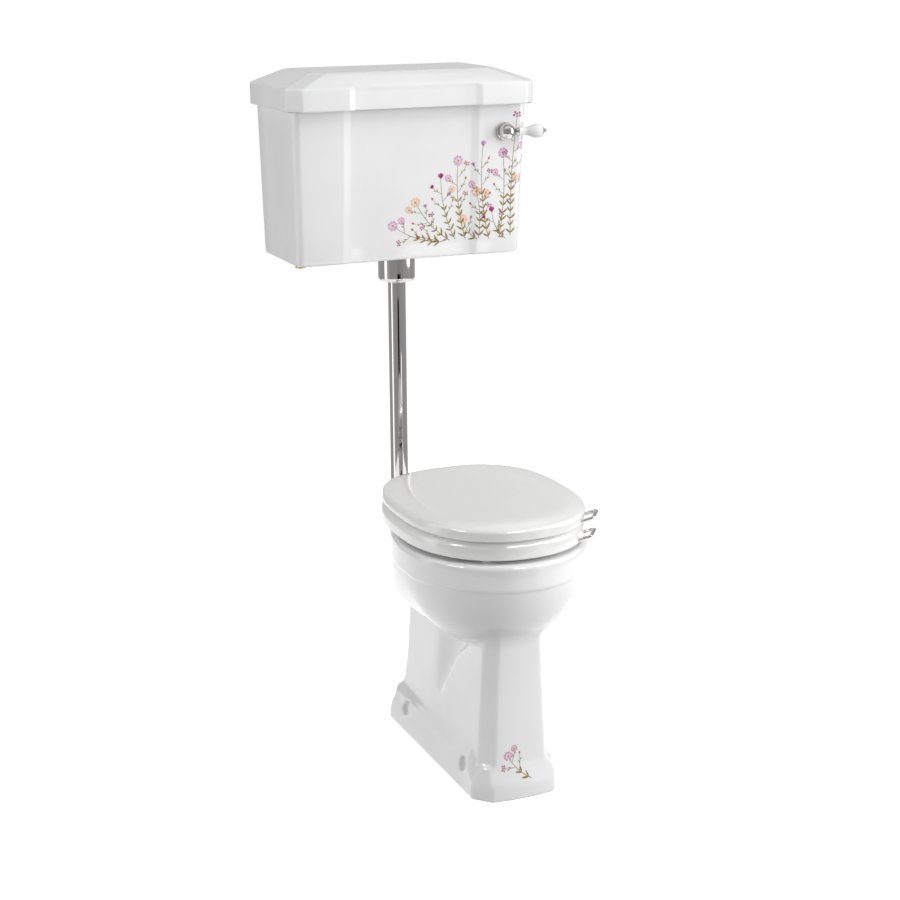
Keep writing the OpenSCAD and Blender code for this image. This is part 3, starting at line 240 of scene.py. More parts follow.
def bumped(tree, shader, height, strength, distance):
    """One more bump over the ones that the shader has."""
    bump = add_node(tree, "Bump", Strength=strength, Distance=distance)
    earlier = [(link.from_socket, bump.inputs["Normal"]) for link in shader.inputs["Normal"].links]
    wire(tree, *earlier, (height, bump.inputs["Height"]),
         (bump.outputs["Normal"], shader.inputs["Normal"]))


def finish(name, color, roughness, tint=None, bumps=(), **sockets):
    """A material with a tint (scale, detail, dark, light, stops) and bumps.

    Each bump is (scale, detail, strength, distance).
    """
    material, tree, shader = new_material(name, color, roughness, **sockets)
    if tint:
        tinted(tree, shader, pattern(tree, *tint[:2]), *tint[2:])
    for bump in bumps:
        bumped(tree, shader, pattern(tree, *bump[:2]), *bump[2:])
    return material


# white glaze over china: a very even white, with slow waves and fine dimples in the gloss
china = finish("glazed_china", (0.86, 0.86, 0.86), 0.06,
               (9.0, 3.0, (0.835, 0.837, 0.84), (0.872, 0.872, 0.870), (0.3, 0.75)),
               [(26.0, 1.0, 0.05, 0.002), (420.0, 1.0, 0.02, 0.0004)],
               IOR=1.52, Coat_Weight=0.35, Coat_Roughness=0.03)


def skin(name, rings, closed=True):
    """A mesh over rings of points, in millimetres, that all have the same count."""
    count = len(rings[0])
    verts = [tuple(c * MM for c in p) for ring in rings for p in ring]
    faces = [(a + i, a + (i + 1) % count, a + (i + 1) % count + count, a + i + count)
             for a in range(0, len(verts) - count, count) for i in range(count)]
    if closed:
        faces.append(tuple(range(count - 1, -1, -1)))
        faces.append(tuple(range(len(verts) - count, len(verts))))
    mesh = bpy.data.meshes.new(name)
    mesh.from_pydata(verts, [], faces)
    work = bmesh.new()
    work.from_mesh(mesh)
    bmesh.ops.recalc_face_normals(work, faces=work.faces)
    work.to_mesh(mesh)
    work.free()
    return put(name, mesh)


def coat(piece, material, angle):
    """Gives a piece its finish, with smooth shading that keeps edges sharper than the angle."""
    mesh = piece.data
    mesh.materials.append(material)
    mesh.polygons.foreach_set("use_smooth", [True] * len(mesh.polygons))
    mesh.set_sharp_from_angle(angle=math.radians(angle))
    mesh.update()


def bored(piece, drills):
    """Cuts round holes: each drill is (x, y, z, radius, length, axis) in millimetres, from that point."""
    ways = {"y": (Vector((0, 1, 0)), Matrix.Rotation(math.radians(-90), 4, "X")),
            "z": (Vector((0, 0, 1)), Matrix.Identity(4))}
    for x, y, z, r, length, axis in drills:
        work = bmesh.new()
        bmesh.ops.create_cone(work, cap_ends=True, segments=48, radius1=r * MM, radius2=r * MM,
                              depth=length * MM)
        way, turn = ways[axis]
        middle = Vector((x, y, z)) * MM + way * length * MM / 2
        bmesh.ops.transform(work, matrix=Matrix.Translation(middle) @ turn, verts=work.verts)
        mesh = bpy.data.meshes.new("drill")
        work.to_mesh(mesh)
        work.free()
        drill = put("drill", mesh)
        cut = piece.modifiers.new("bore", "BOOLEAN")
        cut.operation = "DIFFERENCE"
        cut.solver = "EXACT"
        cut.object = drill
        bpy.context.view_layer.update()
        graph = bpy.context.evaluated_depsgraph_get()
        done = bpy.data.meshes.new_from_object(piece.evaluated_get(graph))
        piece.modifiers.clear()
        old = piece.data
        piece.data = done
        bpy.data.meshes.remove(old)
        bpy.data.objects.remove(drill)
        bpy.data.meshes.remove(mesh)


def box_mm(name):
    """The lowest and the highest corner of a solid, in millimetres to a tenth."""
    return [[round(c / MM, 1) for c in corner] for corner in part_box(name)]


def middle_of(name):
    return [(low + high) / 2 for low, high in zip(*box_mm(name))]


def rounding(r, steps, turn=90.0):
    """How far a rounded edge lies inside its two faces, from (r, 0) to (0, r) if it turns 90 degrees."""
    angles = [math.radians(turn * i / steps) for i in range(steps + 1)]
    return [(r - r * math.sin(a), r - r * math.cos(a)) for a in angles]


def mirrored(left, front):
    """A plan from its left half, which starts at the wall, and the points along its front."""
    return left + front + [(-x, y) for x, y in reversed(left)]


(_, _, TANK_Z), (_, WALL, TANK_TOP) = box_mm("cistern_body")
TANK_H = TANK_TOP - TANK_Z
TANK_HALF_LOW, TANK_HALF_LEAN = 248.0, 8.0
TANK_DEPTH_LOW, TANK_DEPTH_LEAN = 220.0, 21.0
CHINA_T, FLOOR_T = 12.0, 14.0
INNER_FOOT = TANK_Z + FLOOR_T + CHINA_T
OUTER_R, INNER_R, LIP_CORNER_R, BACK_R, FOOT_R, LIP_R = 16.0, 10.0, 12.0, 3.0, 6.0, 3.0
INNER_SUNK = 0.6
PANEL_DEEP = 4.5
TANK_PANEL, LID_PANEL = (149.0, 132.0), (145.0, 131.0)  # half widths at the face and at the panel


def panel_depth(x, wide, narrow):
    """How far the sunk panel lies behind the face at x: it slopes in from wide to narrow."""
    return PANEL_DEEP * min(1.0, max(0.0, (wide - abs(x)) / (wide - narrow)))


PANEL_XS = [-190.0] + [-151.0 + 2.5 * i for i in range(9)] + [-90.0, -45.0]
PANEL_XS += [0.0] + [-x for x in reversed(PANEL_XS)]
PANEL_SPAN = 200.0


def tank_ring(z, inset, corner, sunk, level=None):
    """The tank's plan at the height z, drawn in by inset and laid at level."""
    lean = (z - TANK_Z) / TANK_H
    w = TANK_HALF_LOW + TANK_HALF_LEAN * lean - inset
    front = WALL - TANK_DEPTH_LOW - TANK_DEPTH_LEAN * lean + inset
    back = WALL - min(inset, 2.0)
    left = [(-w + a, back - b) for a, b in rounding(BACK_R, 3)]
    left += [(-w, front + corner + (back - front - corner) * y) for y in (0.75, 0.5, 0.25)]
    left += [(-w + b, front + a) for a, b in rounding(corner, 8)]
    xs = [x * min(1.0, (w - corner) / PANEL_SPAN) for x in PANEL_XS]
    face = [(x, front + sunk * panel_depth(x, *TANK_PANEL)) for x in xs]
    return [(x, y, z if level is None else level) for x, y in mirrored(left, face)]


tank_rings = [tank_ring(TANK_Z, a, OUTER_R, 1, TANK_Z + b) for a, b in rounding(FOOT_R, 6)]
tank_rings.append(tank_ring(TANK_Z + 8, 0, OUTER_R, 1))
tank_rings += [tank_ring(TANK_Z + 6 + (TANK_H - 9) * i / 8, 0, OUTER_R, 1) for i in range(1, 8)]
tank_rings.append(tank_ring(TANK_TOP - 5, 0, OUTER_R, 1))
tank_rings += [tank_ring(TANK_TOP, b, OUTER_R, 1, TANK_TOP - a) for a, b in rounding(LIP_R, 4)]
tank_rings += [tank_ring(TANK_TOP, CHINA_T - a, LIP_CORNER_R, INNER_SUNK, TANK_TOP - b)
               for a, b in rounding(LIP_R, 4)]
tank_rings += [tank_ring(TANK_TOP - LIP_R - (TANK_H - 30) * i / 5, CHINA_T, INNER_R, INNER_SUNK)
               for i in range(1, 6)]
tank_rings += [tank_ring(INNER_FOOT, CHINA_T + b, INNER_R, INNER_SUNK, TANK_Z + FLOOR_T + a)
               for a, b in rounding(CHINA_T, 5)[1:]]
tank = skin("tank", tank_rings)
_, PIPE_Y, _ = middle_of("pipe_shroud")
lever_x, _, lever_z = middle_of("lever_rosette")
inlet_x, inlet_y, _ = (round(c / MM, 1) for c in mounts["water_inlet"]["pos_m"])
screws_z = round(mounts["wall_fixings"]["pos_m"][2] / MM, 1)
screws = mounts["wall_fixings"]["dims"]
screw_x, screw_r = screws["spacing_x_mm"] / 2, screws["hole_r_mm"]
# holes for the siphon's tail, the water inlet, the lever's bush and the two wall screws
bored(tank, [
    (0, PIPE_Y, TANK_Z - 5, 25.9, 30, "z"),
    (inlet_x, inlet_y, TANK_Z - 5, 12.0, 30, "z"),
    (lever_x, 262, lever_z, 8.5, 40, "y"),
    (-screw_x, 495, screws_z, screw_r, 25, "y"),
    (screw_x, 495, screws_z, screw_r, 25, "y"),
])
coat(tank, china, 40)
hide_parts("cistern_body")
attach(tank, "fixed")

# ----------------------------------------
# The cistern's lid: the same china, cast as a shallow hipped box with cut
# front corners. Its skirt drops over the rim, the panel runs up its face, and
# it lies loose so that it can be lifted off.
(_, LID_FRONT, LID_Z), (LID_HALF, _, LID_TOP) = box_mm("cistern_lid")
LID_ROOF, LID_CUT, LID_R, SKIRT_R, SHOULDER_R = 27.0, 26.0, 9.0, 3.0, 7.0
EAVES = LID_TOP - LID_ROOF
ROOF_SIDE, ROOF_FRONT, ROOF_BACK = 70.0, 53.0, 24.0


def corner_arc(a, b, c, r, steps):
    """Points that round the corner b between a and c with a radius of r."""
    a, b, c = Vector(a), Vector(b), Vector(c)
    p, q = (a - b).normalized(), (c - b).normalized()
    half = p.angle(q) / 2
    reach = r / math.tan(half)
    middle = b + (p + q).normalized() * (r / math.sin(half))
    start, end = b + p * reach - middle, b + q * reach - middle
    turn = start.angle(end)
    return [tuple(middle + (start * math.sin((1 - i / steps) * turn) + end * math.sin(i / steps * turn))
                  / math.sin(turn)) for i in range(steps + 1)]


def lid_ring(z, side, front, back, sunk, r=LID_R, cut=LID_CUT):
    """The lid's plan drawn in by side, front and back, at the height z."""
    w, f, b = LID_HALF - side, LID_FRONT + front, WALL - back
    left = corner_arc((0, b), (-w, b), (-w, f + cut), BACK_R, 3)
    left.append((-w, (b + f + cut) / 2))
    left += corner_arc((-w, b), (-w, f + cut), (-w + cut, f), r, 5)
    left += corner_arc((-w, f + cut), (-w + cut, f), (0, f), r, 5)
    xs = [x * min(1.0, (w - cut) / PANEL_SPAN) for x in PANEL_XS]
    face = [(x, f + sunk * panel_depth(x, *LID_PANEL)) for x in xs]
    return [(x, y, z) for x, y in mirrored(left, face)]


def roof_ring(run, rise):
    """The plan part way up the roof: run and rise are shares of its slope and of its height."""
    return lid_ring(EAVES + LID_ROOF * rise, ROOF_SIDE * run, ROOF_FRONT * run, ROOF_BACK * run, 0)


lid_rings = [lid_ring(LID_Z + b, a, a, 0, 1) for a, b in rounding(SKIRT_R, 4)]
lid_rings += [lid_ring(LID_Z + 20, 0, 0, 0, 1), lid_ring(EAVES - 9, 0, 0, 0, 1)]
shoulder_turn = 90 - math.degrees(math.atan2(LID_ROOF, ROOF_SIDE))
drop = SHOULDER_R * math.tan(math.radians(shoulder_turn / 2))
for i, (a, b) in enumerate(rounding(SHOULDER_R, 6, shoulder_turn)):
    lid_rings.append(lid_ring(EAVES - drop + SHOULDER_R - a, b, b * 0.9, b * 0.5, 1 - i / 6))
lid_rings += [roof_ring(0.06 + 0.84 * i / 4, 0.06 + 0.84 * i / 4) for i in range(1, 5)]
lid_rings += [roof_ring(0.90 + 0.22 * i / 5, 1 - a) for i, (a, _) in enumerate(rounding(0.10, 5)) if i]
lid_rings += [lid_ring(LID_TOP, 100, 80, 50, 0), lid_ring(LID_TOP, 180, 105, 90, 0)]
# inside, from the skirt's foot up to the hollow under the roof
inner = [lid_ring(z, side, front, back, 0, 4.0, 16.0) for z, side, front, back in (
    (LID_Z, 6, 6, 0), (LID_Z, 10, 15, 0), (LID_Z + 2, 13, 22.5, 0), (TANK_TOP, 13, 22.5, 0),
    (TANK_TOP, 25, 34.5, 12), (EAVES + 4, 26, 36, 13), (EAVES + 10, 60, 56, 26),
    (LID_TOP - 11, 84, 66, 37), (LID_TOP - 11, 180, 105, 90))]
lid = skin("lid", list(reversed(inner)) + lid_rings)
coat(lid, china, 40)
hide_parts("cistern_lid")
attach(lid, "cistern_lid_body")

# ----------------------------------------
# The flush lever: chrome-plated brass with a turned china grip. The rosette's
# bush passes the tank wall between rubber washers and is held by a backnut,
# and the ball's spindle turns in it. Neck, grip and finial screw together.


def polished_chrome():
    """Plated and polished metal: cool grey, with faint wipe marks in the gloss."""
    material, tree, shader = new_material("polished_chrome", (0.62, 0.61, 0.60), 0.045, 1.0)
    span = add_node(tree, "MapRange", To_Min=0.03, To_Max=0.08)
    wire(tree, (pattern(tree, 14.0, 4.0), span.inputs["Value"]),
         (span.outputs["Result"], shader.inputs["Roughness"]))
    bumped(tree, shader, pattern(tree, 60.0, 1.0), 0.02, 0.001)
    return material


def turned_brass():
    """Bare machined brass, dulled a little, with lathe marks."""
    material, tree, shader = new_material("turned_brass", (0.72, 0.52, 0.24), 0.3, 1.0)
    tinted(tree, shader, pattern(tree, 35.0, 4.0), (0.50, 0.34, 0.14), (0.80, 0.60, 0.30))
    lathe = pattern(tree, 260.0, kind="Wave", Distortion=0.4, bands_direction="Z")
    bumped(tree, shader, lathe, 0.12, 0.0005)
    return material


chrome = polished_chrome()
brass = turned_brass()
# moulded rubber: near black, matt, with a fine grain
rubber = finish("black_rubber", (0.02, 0.02, 0.021), 0.62,
                (40.0, 3.0, (0.014, 0.014, 0.015), (0.040, 0.040, 0.042)), [(700.0, 2.0, 0.2, 0.0003)])


def dress(material, *names):
    """Gives solids that are shown as they are their finish."""
    for name in names:
        node = frame["nodes"][name]
        for slot in node.material_slots:
            slot.link = "OBJECT"
            slot.material = material
        if not node.material_slots:
            node.data.materials.append(material)


dress(chrome, "lever_rosette", "lever_hub", "lever_neck", "lever_finial")
dress(china, "lever_grip")
dress(rubber, "lever_washers")
dress(brass, "lever_backnut")

# ----------------------------------------
# The flushing works inside the tank: a moulded siphon with its piston and
# diaphragm, lifted by a slotted brass arm on the lever's spindle, and a brass
# float valve whose arm hangs down while the tank is empty.

# white plumbing plastic: a soft satin moulding
plastic = finish("moulded_plastic", (0.80, 0.81, 0.81), 0.32,
                 (18.0, 3.0, (0.74, 0.75, 0.76), (0.84, 0.84, 0.83)), [(300.0, 1.0, 0.05, 0.0004)])
dress(plastic, "siphon_body", "siphon_piston", "float")
dress(brass, "lift_arm", "lift_arm_screw", "lift_link", "siphon_backnut", "float_valve",
      "float_valve_backnut", "float_arm", "float_pin", "valve_plunger")
dress(rubber, "siphon_washers", "siphon_diaphragm", "float_valve_washers")

# ----------------------------------------
# The flush pipe: a 38 mm chrome tube from the siphon's tail down to the pan.
# A nut draws its flange up on a washer, a chrome cup hides the nuts, and a
# rubber cone seals the lower end in the pan's inlet.


def turned(name, profile, at):
    """A turned piece on an upright axis: profile holds (radius, height) pairs, in millimetres."""
    angles = [2 * math.pi * i / 96 for i in range(96)]
    rings = [[(at[0] + r * math.cos(a), at[1] + r * math.sin(a), at[2] + z) for a in angles]
             for r, z in profile]
    return skin(name, rings, closed=False)


def arc(cx, cz, r, start, end, steps):
    angles = [math.radians(start + (end - start) * i / steps) for i in range(steps + 1)]
    return [(cx + r * math.cos(a), cz + r * math.sin(a)) for a in angles]


CUP_H, CUP_TOP = 56.0, 976.7
cup_profile = ([(19.15, -3.0)] + arc(20.6, -2.1, 0.9, -90, 0, 4) + [(21.5, 0.0)]
               + arc(30.0, 9.5, 9.5, -90, 0, 12) + [(39.5, 40.0), (39.5, 55.0)]
               + arc(38.5, 55.0, 1.0, 0, 90, 4) + [(37.5, CUP_H), (37.5, 9.5)]
               + arc(30.0, 9.5, 7.5, 0, -90, 8) + [(19.15, 2.0), (19.15, -3.0)])
cup = turned("cup", cup_profile, (0, PIPE_Y, CUP_TOP - CUP_H))
coat(cup, chrome, 40)
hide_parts("pipe_shroud")
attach(cup, "fixed")
dress(chrome, "flush_pipe")
dress(brass, "pipe_nut")
dress(rubber, "pipe_washer", "flush_cone")

# ----------------------------------------
# The pan: one casting of glazed china. Bowl, rim, seat deck, pedestal, plinth
# and trapway melt into each other, so the whole form is worked out as a field
# of distances on a fine grid, and the skin is laid where the field is zero.
CELL = 2.5
_, (_, _, RIM_Z) = box_mm("pan")
BAND_Z, BOWL_FOOT, DECK_Z, PLINTH_Z, EDGE_Z = 442.0, 268.0, 446.0, 66.0, 33.0
MOUTH_Y, PLINTH_W, PLINTH_FRONT, PLINTH_BACK = -115.0, 97.0, 266.0, 210.0
OUTLET_Z, OUTLET_R, OUTLET_BORE = 190.0, 51.0, 41.0
HORN_Z, HORN_R, HORN_BORE = 427.0, 34.0, 27.0
TRAP_R, TRAP_BORE, TRAP_TOP = 46.0, 36.0, 300.0
WELL_Z, UNDER_RIM_Z, OPENING_Y = 184.0, 479.0, -90.0
SCREW_X, SCREW_R = 86.5, 3.2
xs = np.arange(0, 196.1, CELL, dtype=np.float32)
ys = np.arange(-324, 222.1, CELL, dtype=np.float32)
zs = np.arange(-9, 507.1, CELL, dtype=np.float32)
X, Y, Z = np.meshgrid(xs, ys, zs, indexing="ij")


def true_distance(f):
    """Scales a field so that it grows by one millimetre per millimetre near its skin."""
    gx, gy, gz = np.gradient(f, CELL)
    return f / np.maximum(np.sqrt(gx * gx + gy * gy + gz * gz), 1e-3)


def join(a, b, k):
    """Both forms, melted together over a width of k."""
    h = np.clip(0.5 + 0.5 * (b - a) / k, 0, 1)
    return b + (a - b) * h - k * h * (1 - h)


def meet(a, b, k):
    """What lies in both forms, with the edge between them rounded over a width of k."""
    return -join(-a, -b, k)


def oval(w, middle, front, back, nf, nb):
    """1 on an oval outline, less inside: every size may vary with height."""
    y = Y - middle
    ahead_of = (np.abs(X / w) ** nf + np.abs(np.minimum(y, 0) / front) ** nf) ** (1 / nf)
    behind = (np.abs(X / w) ** nb + np.abs(np.maximum(y, 0) / back) ** nb) ** (1 / nb)
    return np.where(y < 0, ahead_of, behind)


def hose(points, r):
    """A tube of radius r through points (y, z) of the middle plane, cut off at the top of the trap."""
    nearest = np.inf
    for a, b in zip(points[:-1], points[1:]):
        (y, z), (dy, dz) = a, np.subtract(b, a)
        t = np.clip(((Y - y) * dy + (Z - z) * dz) / (dy * dy + dz * dz), 0, 1)
        nearest = np.minimum(nearest, np.sqrt(X ** 2 + (Y - y - t * dy) ** 2 + (Z - z - t * dz) ** 2))
    return meet(nearest - r, Z - TRAP_TOP, 2.0)


def level_round(z, r):
    """A round bar that lies from front to back over the middle."""
    return np.sqrt(X ** 2 + (Z - z) ** 2) - r


# rim band and the flat deck behind it
rim = true_distance((oval(184.0, MOUTH_Y, 197.0, 280.0, 2.0, 2.0) - 1) * 190)
rim = meet(rim, Z - RIM_Z, 10.0)
rim = meet(rim, BAND_Z - Z, 3.0)
deck = true_distance((oval(98.0, 140.0, 45.0, 55.0, 6.0, 6.0) - 1) * 60)
deck = meet(deck, Z - RIM_Z, 10.0)
deck = meet(deck, BAND_Z + 1 - Z, 3.0)
# bowl: closes slowly in front and at the sides, and fast behind
depth = np.clip(BAND_Z + 6 - Z, 0, None)
level_out = oval(180.0, MOUTH_Y, 193.0, 276.0, 2.0, 2.2)
behind = np.clip((np.maximum(Y - MOUTH_Y, 0) / 277.0) / np.maximum(level_out, 1e-3), 0, 1) ** 1.1
blend = np.clip(behind / 0.7, 0, 1)
blend = blend * blend * (3 - 2 * blend)
slow = np.clip(1 - np.minimum(depth / 176.0, 1) ** 1.85, 0, 1) ** (1 / 1.85)
fast = np.clip(1 - np.minimum(depth / 124.0, 1) ** 5.5, 0, 1) ** (1 / 5.5)
bowl = true_distance((level_out - (slow + (fast - slow) * blend)) * 185)
bowl = np.clip(bowl, -60, 60)
bowl = meet(bowl, Z - BAND_Z - 3, 2.0)
bowl = meet(bowl, BOWL_FOOT - Z, 6.0)


def by_height(*pairs):
    """A size that varies with height: pairs are (height, size)."""
    z, v = zip(*pairs)
    return np.interp(Z, z, v).astype(np.float32)


def block(w, back, front, cx, cy, bow, k):
    """A block with cut front corners: w, back, front and the cuts may vary with height, and w with Y."""
    f = meet(true_distance(np.abs(X) - w), Y - back, k)
    f = meet(f, -front - Y - bow * np.clip(1 - (X / (w - cx)) ** 2, 0, 1), k)
    cut = ((np.abs(X) - w) * cy - (Y + front - cy) * cx) / np.sqrt(cx * cx + cy * cy)
    return meet(f, cut, k)


def slope(at, a, b):
    """The face over two points of a profile, each (how far out, how high): b lies above a."""
    (x0, z0), (x1, z1) = a, b
    return ((at - x0) * (z1 - z0) + (Z - z0) * (x0 - x1)) / math.hypot(z1 - z0, x0 - x1)


# pedestal: its sides draw in behind a crease, and a scoop runs down under the bowl, steep in front
drawn = by_height((0, 7), (96, 9), (230, 6), (352, 4)) * np.maximum((Y - 24) / 180, 0)
crest = by_height((138, -30), (168, -47), (182, -54), (214, -76), (247, -98), (267, -123),
                  (300, -192), (312, -226))
along = np.maximum((2 - Y) / (2 - crest), 0)  # 1 on the crest, where the scoop ends
fading = (1 - along + np.sqrt((1 - along) ** 2 + 0.0012)) / 2
scoop = by_height((138, 0), (168, 6), (214, 17), (267, 26), (320, 32)) * 6.75 * along ** 2 * fading
pedestal = block(
    by_height((0, 80), (62, 78), (96, 76), (230, 70), (352, 65), (444, 56)) - drawn - scoop,
    by_height((0, 204), (62, 202), (96, 191), (160, 176), (230, 166), (352, 164), (444, 172)),
    by_height((0, 250), (62, 249), (230, 245), (352, 243), (444, 189)),
    by_height((62, 23), (352, 22)), by_height((62, 31), (230, 24), (352, 22)), 2.0, 3.5)
pedestal = meet(pedestal, Z - DECK_Z, 3.0)
# plinth: crisp in front, and rounded over at the sides
softer = np.clip((Y + 238) / 44, 0, 1) ** 2
plinth = block(PLINTH_W, PLINTH_BACK, PLINTH_FRONT, 29.5, 33.0, 6.0, 3.0)
run_side = meet(slope(np.abs(X), (PLINTH_W, EDGE_Z), (92, 48)), slope(np.abs(X), (92, 48), (76, 64)), 8.0)
run_front = slope(-Y - 6 * np.clip(1 - (X / 66) ** 2, 0, 1), (PLINTH_FRONT, EDGE_Z), (249, 62))
run_cut = slope(((np.abs(X) - PLINTH_W) * 33 - (Y + 233) * 28) / 43.3, (0, EDGE_Z), (-14, 62))
run_back = slope(Y, (PLINTH_BACK, EDGE_Z), (202, 62))
runs = meet(meet(run_side, run_front, 2.5), meet(run_cut, run_back, 2.5), 2.5)
plinth = meet(plinth, runs, 2.5 + 10 * softer)
plinth = meet(plinth, Z - PLINTH_Z, 2.0)
foot = join(pedestal, plinth, 6.0 + softer * np.clip(Z - 36, 0, 28))
foot = meet(foot, -Z, 1.5)
# inside of the foot, open underneath and behind
cavity = block(by_height((0, 58), (150, 58), (190, 41)), by_height((0, 198), (150, 152), (190, 94)),
               237.0, 14.0, 20.0, 0.0, 8.0)
cavity = meet(cavity, Z - 178, 20.0)
window = meet(np.abs(X) - 58, np.maximum(100 - Y, np.abs(Z - 157) - 95), 26.0)
foot = meet(foot, -join(cavity, window, 6.0), 3.0)
form = join(join(rim, deck, 8.0), bowl, 2.5)
form = join(form, foot, 14.0 + 0.4 * scoop)
# underside of the deck
pocket = np.maximum(np.maximum(np.abs(X) - 90, np.abs(Y - 167.5) - 17.5), np.abs(Z - 455.5) - 23.5)
form = meet(form, -pocket, 3.0)
# trapway, outlet and flush inlet: the trapway runs through points (y, z)
trap = [(-42, TRAP_TOP), (-42, 184), (-30, 150), (-2, 136), (26, 150), (38, 184), (38, 216),
        (50, 248), (78, 260), (104, 250), (130, 212), (150, 195), (166, 190), (200, 190)]
tube = hose(trap[1:], TRAP_R)
spigot = np.maximum(level_round(OUTLET_Z, OUTLET_R), np.maximum(Y - 210, 150 - Y))
horn = np.maximum(level_round(HORN_Z, HORN_R), np.maximum(Y - 205, 100 - Y))
form = join(form, tube, 8.0)
form = join(form, spigot, 5.0)
form = join(form, horn, 8.0)
# inside of the bowl, which falls to the well: height, half width, front, back
rows = [(WELL_Z, 37, -79, -5), (206, 37, -84, -4), (240, 37, -96, 2), (285, 38, -128, 10),
        (318, 45, -190, 16), (340, 83, -226, 26), (360, 114, -250, 34), (388, 140, -276, 46),
        (416, 158, -290, 60), (442, 170, -300, 86), (UNDER_RIM_Z, 170, -300, 86)]
heights, *sizes = zip(*rows)
w_in, f_in, b_in = (np.interp(Z, heights, size) for size in sizes)
mid_in = (f_in + b_in) / 2 - 0.04 * (b_in - f_in)
inside = true_distance((oval(w_in, mid_in, mid_in - f_in, b_in - mid_in, 2.0, 2.2) - 1) * 100)
inside = meet(inside, np.maximum(Z - UNDER_RIM_Z, WELL_Z - Z), 8.0)
mouth = true_distance((oval(132.0, OPENING_Y, 173.0, 162.0, 2.0, 2.2) - 1) * 150)
lip = np.maximum(true_distance((oval(142.0, OPENING_Y, 183.0, 172.0, 2.0, 2.2) - 1) * 150), 450 - Z)
inside = meet(inside, -lip, 4.0)
mouth = np.maximum(mouth, DECK_Z - Z)
form = meet(form, -inside, 4.0)
form = meet(form, -mouth, 12.0)
form = meet(form, -hose(trap, TRAP_BORE), 3.0)
form = meet(form, -np.maximum(level_round(OUTLET_Z, OUTLET_BORE), 168 - Y), 2.0)
form = meet(form, -np.maximum(level_round(HORN_Z, HORN_BORE), 60 - Y), 2.0)
# screw pockets in the plinth's shoulders, each a round scoop over its hole
for y in (-170.0, 131.0):
    form = meet(form, 14.0 - np.sqrt((X - 88) ** 2 + (Y - y) ** 2 + (Z - 49) ** 2), 2.0)
    hole = np.sqrt((X - SCREW_X) ** 2 + (Y - y + 2) ** 2) - SCREW_R
    form = meet(form, -np.maximum(hole, Z - 39), 0.8)
field = np.concatenate([form[:0:-1], form], axis=0).astype(np.float32)
origin = np.array([-xs[-1], ys[0], zs[0]], dtype=np.float32)


def lay_skin(field, origin):
    """Vertices and quads where the field changes sign, one vertex for each cell that it crosses."""
    inside_of = field < 0
    nx, ny, nz = field.shape
    total = np.zeros((nx - 1, ny - 1, nz - 1, 3), dtype=np.float32)
    hits = np.zeros((nx - 1, ny - 1, nz - 1), dtype=np.int16)
    corners = [(i, j, k) for i in (0, 1) for j in (0, 1) for k in (0, 1)]

    def part(a, c):
        return a[c[0]:nx - 1 + c[0], c[1]:ny - 1 + c[1], c[2]:nz - 1 + c[2]]

    for axis in range(3):
        for c in corners:
            if c[axis]:
                continue
            d = list(c)
            d[axis] = 1
            fa, fb = part(field, c), part(field, d)
            crossed = part(inside_of, c) != part(inside_of, d)
            t = np.where(crossed, fa / np.where(crossed, fa - fb, 1), 0)
            for q in range(3):
                total[..., q] += np.where(crossed, c[q] + (t if q == axis else 0), 0)
            hits += crossed
    used = hits > 0
    index = -np.ones(used.shape, dtype=np.int64)
    index[used] = np.arange(used.sum())
    cells = np.argwhere(used)
    verts = cells + total[used] / hits[used][:, None]
    quads = []
    for axis in range(3):
        u, v = (axis + 1) % 3, (axis + 2) % 3
        spots = np.argwhere(np.diff(inside_of, axis=axis))
        keep = (spots[:, u] > 0) & (spots[:, v] > 0)
        keep &= (spots[:, u] < field.shape[u] - 1) & (spots[:, v] < field.shape[v] - 1)
        spots = spots[keep]
        facing = inside_of[tuple(spots.T)]
        ring = []
        for du, dv in ((-1, -1), (0, -1), (0, 0), (-1, 0)):
            s = spots.copy()
            s[:, u] += du
            s[:, v] += dv
            ring.append(index[tuple(s.T)])
        ring = np.stack(ring, axis=1)
        ring[~facing] = ring[~facing][:, ::-1]
        quads.append(ring)
    quads = np.concatenate(quads)

    def sample(points, values):
        """The values between the eight corners round each point."""
        base = np.clip(points.astype(int), 0, np.array(values.shape) - 2)
        t = points - base
        result = 0
        for i, j, k in corners:
            weight = np.abs(1 - i - t[:, 0]) * np.abs(1 - j - t[:, 1]) * np.abs(1 - k - t[:, 2])
            result = result + weight * values[base[:, 0] + i, base[:, 1] + j, base[:, 2] + k]
        return result

    # the vertices are drawn onto the zero level
    slopes = np.gradient(field)
    for _ in range(2):
        rise = np.stack([sample(verts, s) for s in slopes], axis=1)
        length = np.maximum((rise ** 2).sum(axis=1), 1e-4)
        move = rise * (sample(verts, field) / length)[:, None]
        far = np.maximum(np.abs(move).max(axis=1, keepdims=True) / 0.5, 1)
        verts = verts - move / far
    return verts * CELL + origin, quads


# the field is evened a little, as glaze evens an edge
field = np.clip(field, -12, 12)
for axis in range(3):
    field = 0.25 * np.roll(field, 1, axis) + 0.5 * field + 0.25 * np.roll(field, -1, axis)
verts, quads = lay_skin(field, origin)
pan_mesh = bpy.data.meshes.new("pan_china")
pan_mesh.vertices.add(len(verts))
pan_mesh.vertices.foreach_set("co", (verts * MM).astype(np.float32).ravel())
pan_mesh.loops.add(quads.size)
pan_mesh.loops.foreach_set("vertex_index", quads.astype(np.int32).ravel())
pan_mesh.polygons.add(len(quads))
pan_mesh.polygons.foreach_set("loop_start", np.arange(0, quads.size, 4, dtype=np.int32))
pan_mesh.update(calc_edges=True)
pan_mesh.validate()
pan = put("pan_china", pan_mesh)
pan_mesh.polygons.foreach_set("use_smooth", [True] * len(pan_mesh.polygons))
pan.data.materials.append(china)
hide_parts("pan")
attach(pan, "fixed")

